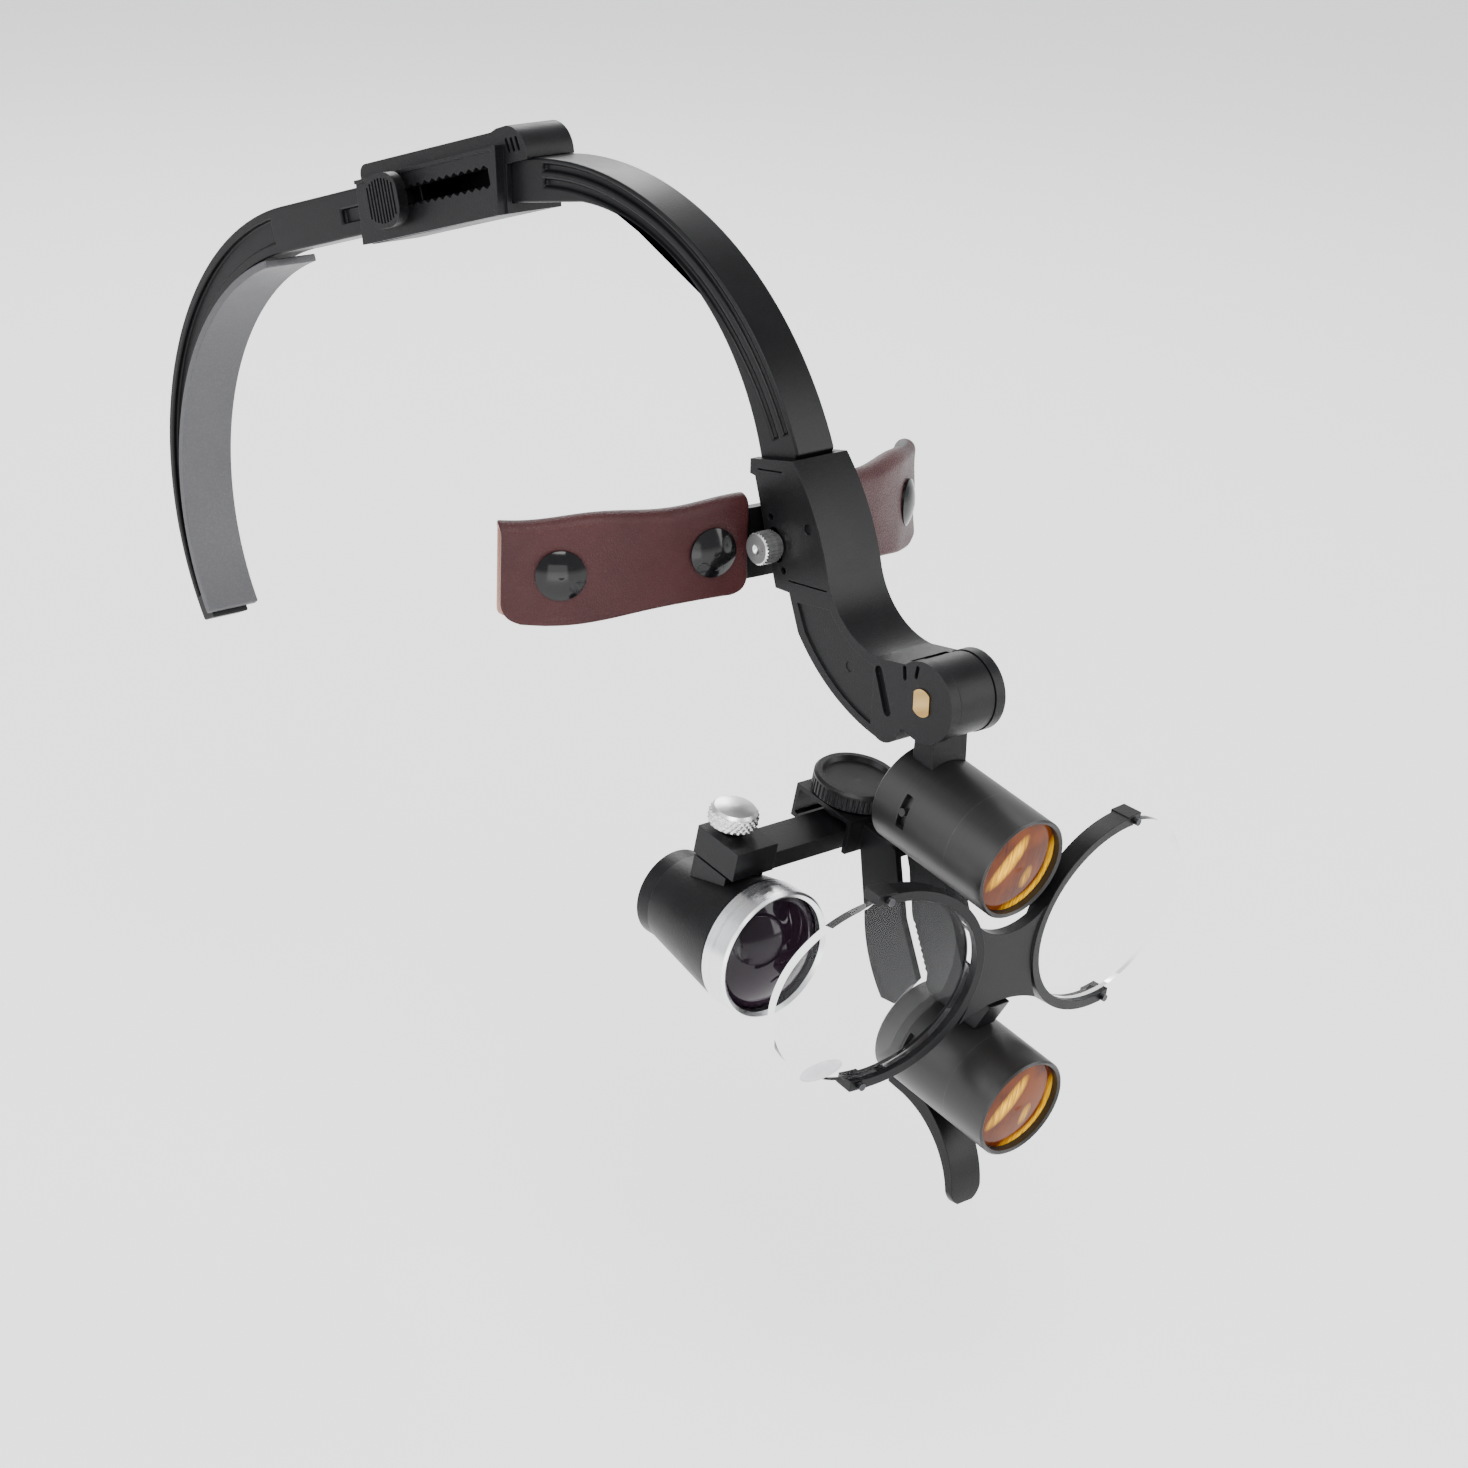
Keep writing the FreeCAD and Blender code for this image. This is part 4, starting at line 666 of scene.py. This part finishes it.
def sleeveHeight(spec, side, height, across, onFront, lowness):
    # the outer end hangs, the lower edge waves and the fold wanders a little
    z = height - spec["droop"][side] * across ** 1.3
    wave = spec["edgeRoll"] * math.sin(across * 7.2 + 0.6)
    wave -= spec["edgeDip"] * bell(across, 0.86, 0.2)
    wave += spec["edgeRise"] * bell(across, 0.42, 0.22)
    z += onFront * lowness * wave
    return z + spec["foldWander"] * math.sin(across * 11.0 + 1.1) * (1 - lowness)


def sleeveRadius(spec, radius, degrees, z, onFront, lowness, ripple):
    # puffs out between the snaps, pulled in at them
    nearSnap = sum(bell(degrees, snap, spec["snapReach"]) for snap in spec["snaps"])
    pull = nearSnap * bell(z, 0.0, spec["snapHeight"])
    between = bell(degrees, spec["puffAt"], spec["puffReach"])
    puff = spec["puff"] * (between * (0.5 + 0.5 * lowness) - 0.25 * pull)
    return radius + onFront * (puff + ripple) + onFront * spec["flare"] * lowness ** 3 * (1 - pull)


def buildSleeve(side, spec):
    sign = -1 if side == "right" else 1
    mesh = bpy.data.meshes.new(side + "Leather")
    rows = spec["across"]
    columns = spec["along"]
    shape = bmesh.new()
    grid = []
    start = math.radians(spec["inner"])
    length = (math.radians(spec["outer"]) - start) * spec["frontRadius"]
    for i in range(rows + 1):
        step = i / rows
        radius, height, fromEnd, total = sleeveProfile(spec, step)
        onFront = max(0.0, min(1.0, (step - 0.5) / 0.08))
        lowness = max(0.0, min(1.0, (0.004 - height) / 0.0136))
        line = []
        # rounded lower corners of both flaps
        edge = min(fromEnd, total - fromEnd)
        corner = spec["corner"] if fromEnd < total / 2 else spec["corner"] * spec["backCorner"]
        inset = 0.0
        if edge < corner:
            inset = corner - math.sqrt(corner ** 2 - (corner - edge) ** 2)
        for j in range(columns + 1):
            across = inset / length + (1 - 2 * inset / length) * j / columns
            angle = start + across * (length / spec["frontRadius"])
            angle += (1 - onFront) * spec["backExtra"] * across
            z = sleeveHeight(spec, side, height, across, onFront, lowness)
            ripple = noise.noise(Vector((across * 5.0, step * 7.0, sign * 3.0))) * spec["ripple"]
            r = sleeveRadius(spec, radius, math.degrees(angle), z, onFront, lowness, ripple)
            x = sign * r * math.sin(angle)
            y = spec["headRadius"] - r * math.cos(angle)
            line.append(shape.verts.new((x, y, z)))
        grid.append(line)
    for i in range(rows):
        for j in range(columns):
            corners = (grid[i][j], grid[i + 1][j], grid[i + 1][j + 1], grid[i][j + 1])
            shape.faces.new(corners if sign > 0 else corners[::-1])
    shape.to_mesh(mesh)
    area = sum(face.calc_area() for face in shape.faces)
    shape.free()
    piece = linkMesh(side + "Leather", mesh, [surface["oxblood_leather"], suede])
    thick = piece.modifiers.new("thickness", "SOLIDIFY")
    thick.thickness = spec["thickness"]
    thick.offset = -1
    thick.material_offset = 1
    thick.material_offset_rim = 1
    soft = piece.modifiers.new("soft edges", "SUBSURF")
    soft.levels = 1
    soft.render_levels = 1
    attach(piece, "forehead_pad")
    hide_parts(side + "_sleeve")
    return piece


for side in ("right", "left"):
    buildSleeve(side, sleeve)


# blank oval sticker near the lower edge of the wearer's right lens
sticker = {
    "across": -0.0105, "up": -0.0150, "halfWidth": 0.0046, "halfHeight": 0.0021, "lean": 0.1,
    "proud": 0.00012, "thickness": 0.0001, "turns": 40, "rings": (0.0, 0.5, 0.85, 1.0),
    "lensCurve": 0.160, "tilt": 7.6, "wrap": 5.7, "offset": 0.032, "back": 0.0012,
    "centre": (-0.0708, -0.0662),
}


def buildSticker(spec):
    place = Matrix.Translation((0, spec["centre"][0], spec["centre"][1]))
    place = place @ Matrix.Rotation(math.radians(spec["tilt"]), 4, "X")
    place = place @ Matrix.Translation((-spec["offset"], spec["back"], 0))
    place = place @ Matrix.Rotation(math.radians(-spec["wrap"]), 4, "Z")
    mesh = bpy.data.meshes.new("lensSticker")
    shape = bmesh.new()

    def onLens(x, z, proud):
        bow = spec["lensCurve"] - math.sqrt(spec["lensCurve"] ** 2 - x * x - z * z)
        return place @ Vector((x, bow - proud, z))

    rings = []
    turns = spec["turns"]
    for share in spec["rings"]:
        ring = []
        for k in range(turns):
            turn = 2 * math.pi * k / turns
            sideways = share * spec["halfWidth"] * math.cos(turn)
            x = spec["across"] + sideways
            z = spec["up"] + share * spec["halfHeight"] * math.sin(turn) + spec["lean"] * sideways
            ring.append(shape.verts.new(onLens(x, z, spec["proud"])))
            if share == 0.0:
                break
        rings.append(ring)
    for k in range(turns):
        after = (k + 1) % turns
        shape.faces.new((rings[0][0], rings[1][after], rings[1][k]))
        for inner, outer in ((1, 2), (2, 3)):
            shape.faces.new((rings[inner][k], rings[inner][after], rings[outer][after], rings[outer][k]))
    bmesh.ops.recalc_face_normals(shape, faces=shape.faces)
    shape.to_mesh(mesh)
    shape.free()
    material, tree, shader = newMaterial("frostedSticker")
    grain = useGroup(tree, mouldGrain, Grain=2400.0, Cloud=300.0)
    frost = mixColor(tree, grain.outputs["Smudge"], (0.5, 0.51, 0.53), (0.66, 0.67, 0.69))
    plug(tree, frost, shader.inputs["Base Color"])
    rough = rangeNode(tree, grain.outputs["Smudge"], 0.0, 1.0, 0.45, 0.65)
    plug(tree, rough, shader.inputs["Roughness"])
    addBump(tree, shader, grain.outputs["Height"], 0.1, 0.00003)
    piece = linkMesh("lensSticker", mesh, [material])
    thick = piece.modifiers.new("thickness", "SOLIDIFY")
    thick.thickness = spec["thickness"]
    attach(piece, "carrier")
    return piece


buildSticker(sticker)
print("visor: soft pieces and sticker done")


# diamond knurl, cut as real ridges on the loupe screw's head
thumbKnurl = {"radius": 0.00482, "ridge": 0.00042, "turns": 24, "low": 0.00125, "high": 0.0042,
              "seat": (-0.031, 0.0015, -0.0007), "sheet": (-0.0271, -0.047)}


def channelFrame(spec):
    sheet = Matrix.Translation((0, spec["sheet"][0], spec["sheet"][1]))
    base = sheet @ Matrix.Rotation(barrelTilt, 4, "X")
    return base @ Matrix.Translation(spec["seat"])


def buildDiamondKnurl(spec):
    place = channelFrame(spec)
    shape = bmesh.new()
    around = spec["turns"] * 6
    rows = 14
    grid = []
    for i in range(rows + 1):
        z = spec["low"] + (spec["high"] - spec["low"]) * i / rows
        line = []
        for k in range(around):
            turn = 2 * math.pi * k / around
            first = math.sin(turn * spec["turns"] + i * 0.9)
            second = math.sin(turn * spec["turns"] - i * 0.9)
            lift = spec["ridge"] * max(0.0, min(1.0, 0.55 + 0.45 * min(first, second) * 1.6))
            r = spec["radius"] - 0.0002 + lift * (0.2 if i in (0, rows) else 1.0)
            line.append(shape.verts.new(place @ Vector((r * math.cos(turn), r * math.sin(turn), z))))
        grid.append(line)
    for i in range(rows):
        for k in range(around):
            after = (k + 1) % around
            shape.faces.new((grid[i][k], grid[i][after], grid[i + 1][after], grid[i + 1][k]))
    mesh = bpy.data.meshes.new("loupeScrewKnurl")
    shape.to_mesh(mesh)
    shape.free()
    piece = linkMesh("loupeScrewKnurl", mesh, [surface["bright_steel"]])
    thick = piece.modifiers.new("thickness", "SOLIDIFY")
    thick.thickness = 0.0003
    thick.offset = -1
    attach(piece, "loupe_screw")
    return piece


buildDiamondKnurl(thumbKnurl)
print("visor: knurl cut")


# ---- studio

studio = {"floorBelow": 0.07, "floorColour": (0.93, 0.93, 0.935), "floorGlow": 0.4,
          "worldColour": (0.95, 0.96, 0.98), "worldStrength": 0.7}


def buildStudio(spec):
    low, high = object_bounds()
    ground = low.z - spec["floorBelow"]
    shape = bmesh.new()
    # floor that curves up far behind, so that no horizon shows
    depth = [
        (-2.5, 0.0), (-1.0, 0.0), (0.8, 0.0), (1.6, 0.02), (2.2, 0.12), (2.7, 0.4), (2.95, 0.9),
        (3.0, 1.6), (3.0, 3.2),
    ]
    grid = []
    for y, z in depth:
        grid.append([shape.verts.new((x, y, z)) for x in (-3.5, -1.2, 0.0, 1.2, 3.5)])
    for i in range(len(depth) - 1):
        for k in range(4):
            shape.faces.new((grid[i][k], grid[i][k + 1], grid[i + 1][k + 1], grid[i + 1][k]))
    mesh = bpy.data.meshes.new("studioFloor")
    shape.to_mesh(mesh)
    shape.free()
    material, tree, shader = newMaterial("studioPaper")
    cloud = addNode(tree, "ShaderNodeTexNoise")
    cloud.inputs["Scale"].default_value = 2.0
    lighter = tuple(c * 1.02 for c in spec["floorColour"])
    paper = mixColor(tree, cloud.outputs["Fac"], spec["floorColour"], lighter)
    plug(tree, paper, shader.inputs["Base Color"])
    shader.inputs["Roughness"].default_value = 0.9
    shader.inputs["Emission Color"].default_value = (1.0, 1.0, 1.0, 1.0)
    shader.inputs["Emission Strength"].default_value = spec["floorGlow"]
    floor = linkMesh("studioFloor", mesh, [material])
    soft = floor.modifiers.new("sweep", "SUBSURF")
    soft.levels = 2
    soft.render_levels = 2
    turned = Matrix.Rotation(math.radians(-42), 4, "Z")
    floor.matrix_world = Matrix.Translation((0, 0.1, ground)) @ turned
    floor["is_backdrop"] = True
    world = bpy.data.worlds.new("studio")
    world.use_nodes = True
    world.node_tree.nodes["Background"].inputs["Color"].default_value = (*spec["worldColour"], 1)
    world.node_tree.nodes["Background"].inputs["Strength"].default_value = spec["worldStrength"]
    bpy.context.scene.world = world


buildStudio(studio)

lamps = [
    # name, place, aim, size, watts, colour
    ("keyLight", (-0.55, -0.75, 1.05), (0, 0.0, -0.03), 0.7, 21.0, (1.0, 0.99, 0.97)),
    ("sideLight", (-1.15, 0.25, 0.45), (0, 0.05, 0.0), 0.8, 12.0, (0.97, 0.98, 1.0)),
    ("frontFill", (0.75, -0.95, 0.35), (0, -0.03, -0.03), 0.7, 11.0, (1.0, 1.0, 1.0)),
    ("rimLight", (0.55, 0.9, 0.8), (0, 0.05, 0.0), 0.6, 12.0, (1.0, 1.0, 1.0)),
    ("lowCard", (-0.3, -0.35, -0.16), (0, -0.03, -0.05), 0.35, 1.2, (1.0, 1.0, 1.0)),
]


def hangLamp(name, place, aim, size, watts, colour):
    data = bpy.data.lights.new(name, "AREA")
    data.shape = "RECTANGLE"
    data.size = size
    data.size_y = size * 1.4
    data.energy = watts
    data.color = colour
    lamp = bpy.data.objects.new(name, data)
    bpy.context.scene.collection.objects.link(lamp)
    lamp.location = place
    lamp.rotation_euler = (Vector(aim) - Vector(place)).to_track_quat("-Z", "Y").to_euler()


for entry in lamps:
    hangLamp(*entry)

# 42 degrees round to the wearer's right, 20 above, with a slight roll
view = {
    "place": (-0.4532, -0.4950, 0.2057), "right": (0.7513, -0.6591, 0.0329),
    "back": (-0.6270, -0.6974, 0.3471), "lens": 86.1, "sensor": 36.0, "nearest": 0.01,
}


def setCamera(spec):
    data = bpy.data.cameras.new("threeQuarterView")
    data.sensor_width = spec["sensor"]
    data.lens = spec["lens"]
    data.clip_start = spec["nearest"]
    camera = bpy.data.objects.new("threeQuarterView", data)
    bpy.context.scene.collection.objects.link(camera)
    back = Vector(spec["back"]).normalized()
    up = back.cross(Vector(spec["right"]).normalized()).normalized()
    right = up.cross(back).normalized()
    turn = Matrix((right, up, back)).transposed()
    camera.matrix_world = Matrix.Translation(spec["place"]) @ turn.to_4x4()
    bpy.context.scene.camera = camera


setCamera(view)
print("visor: studio and camera set")
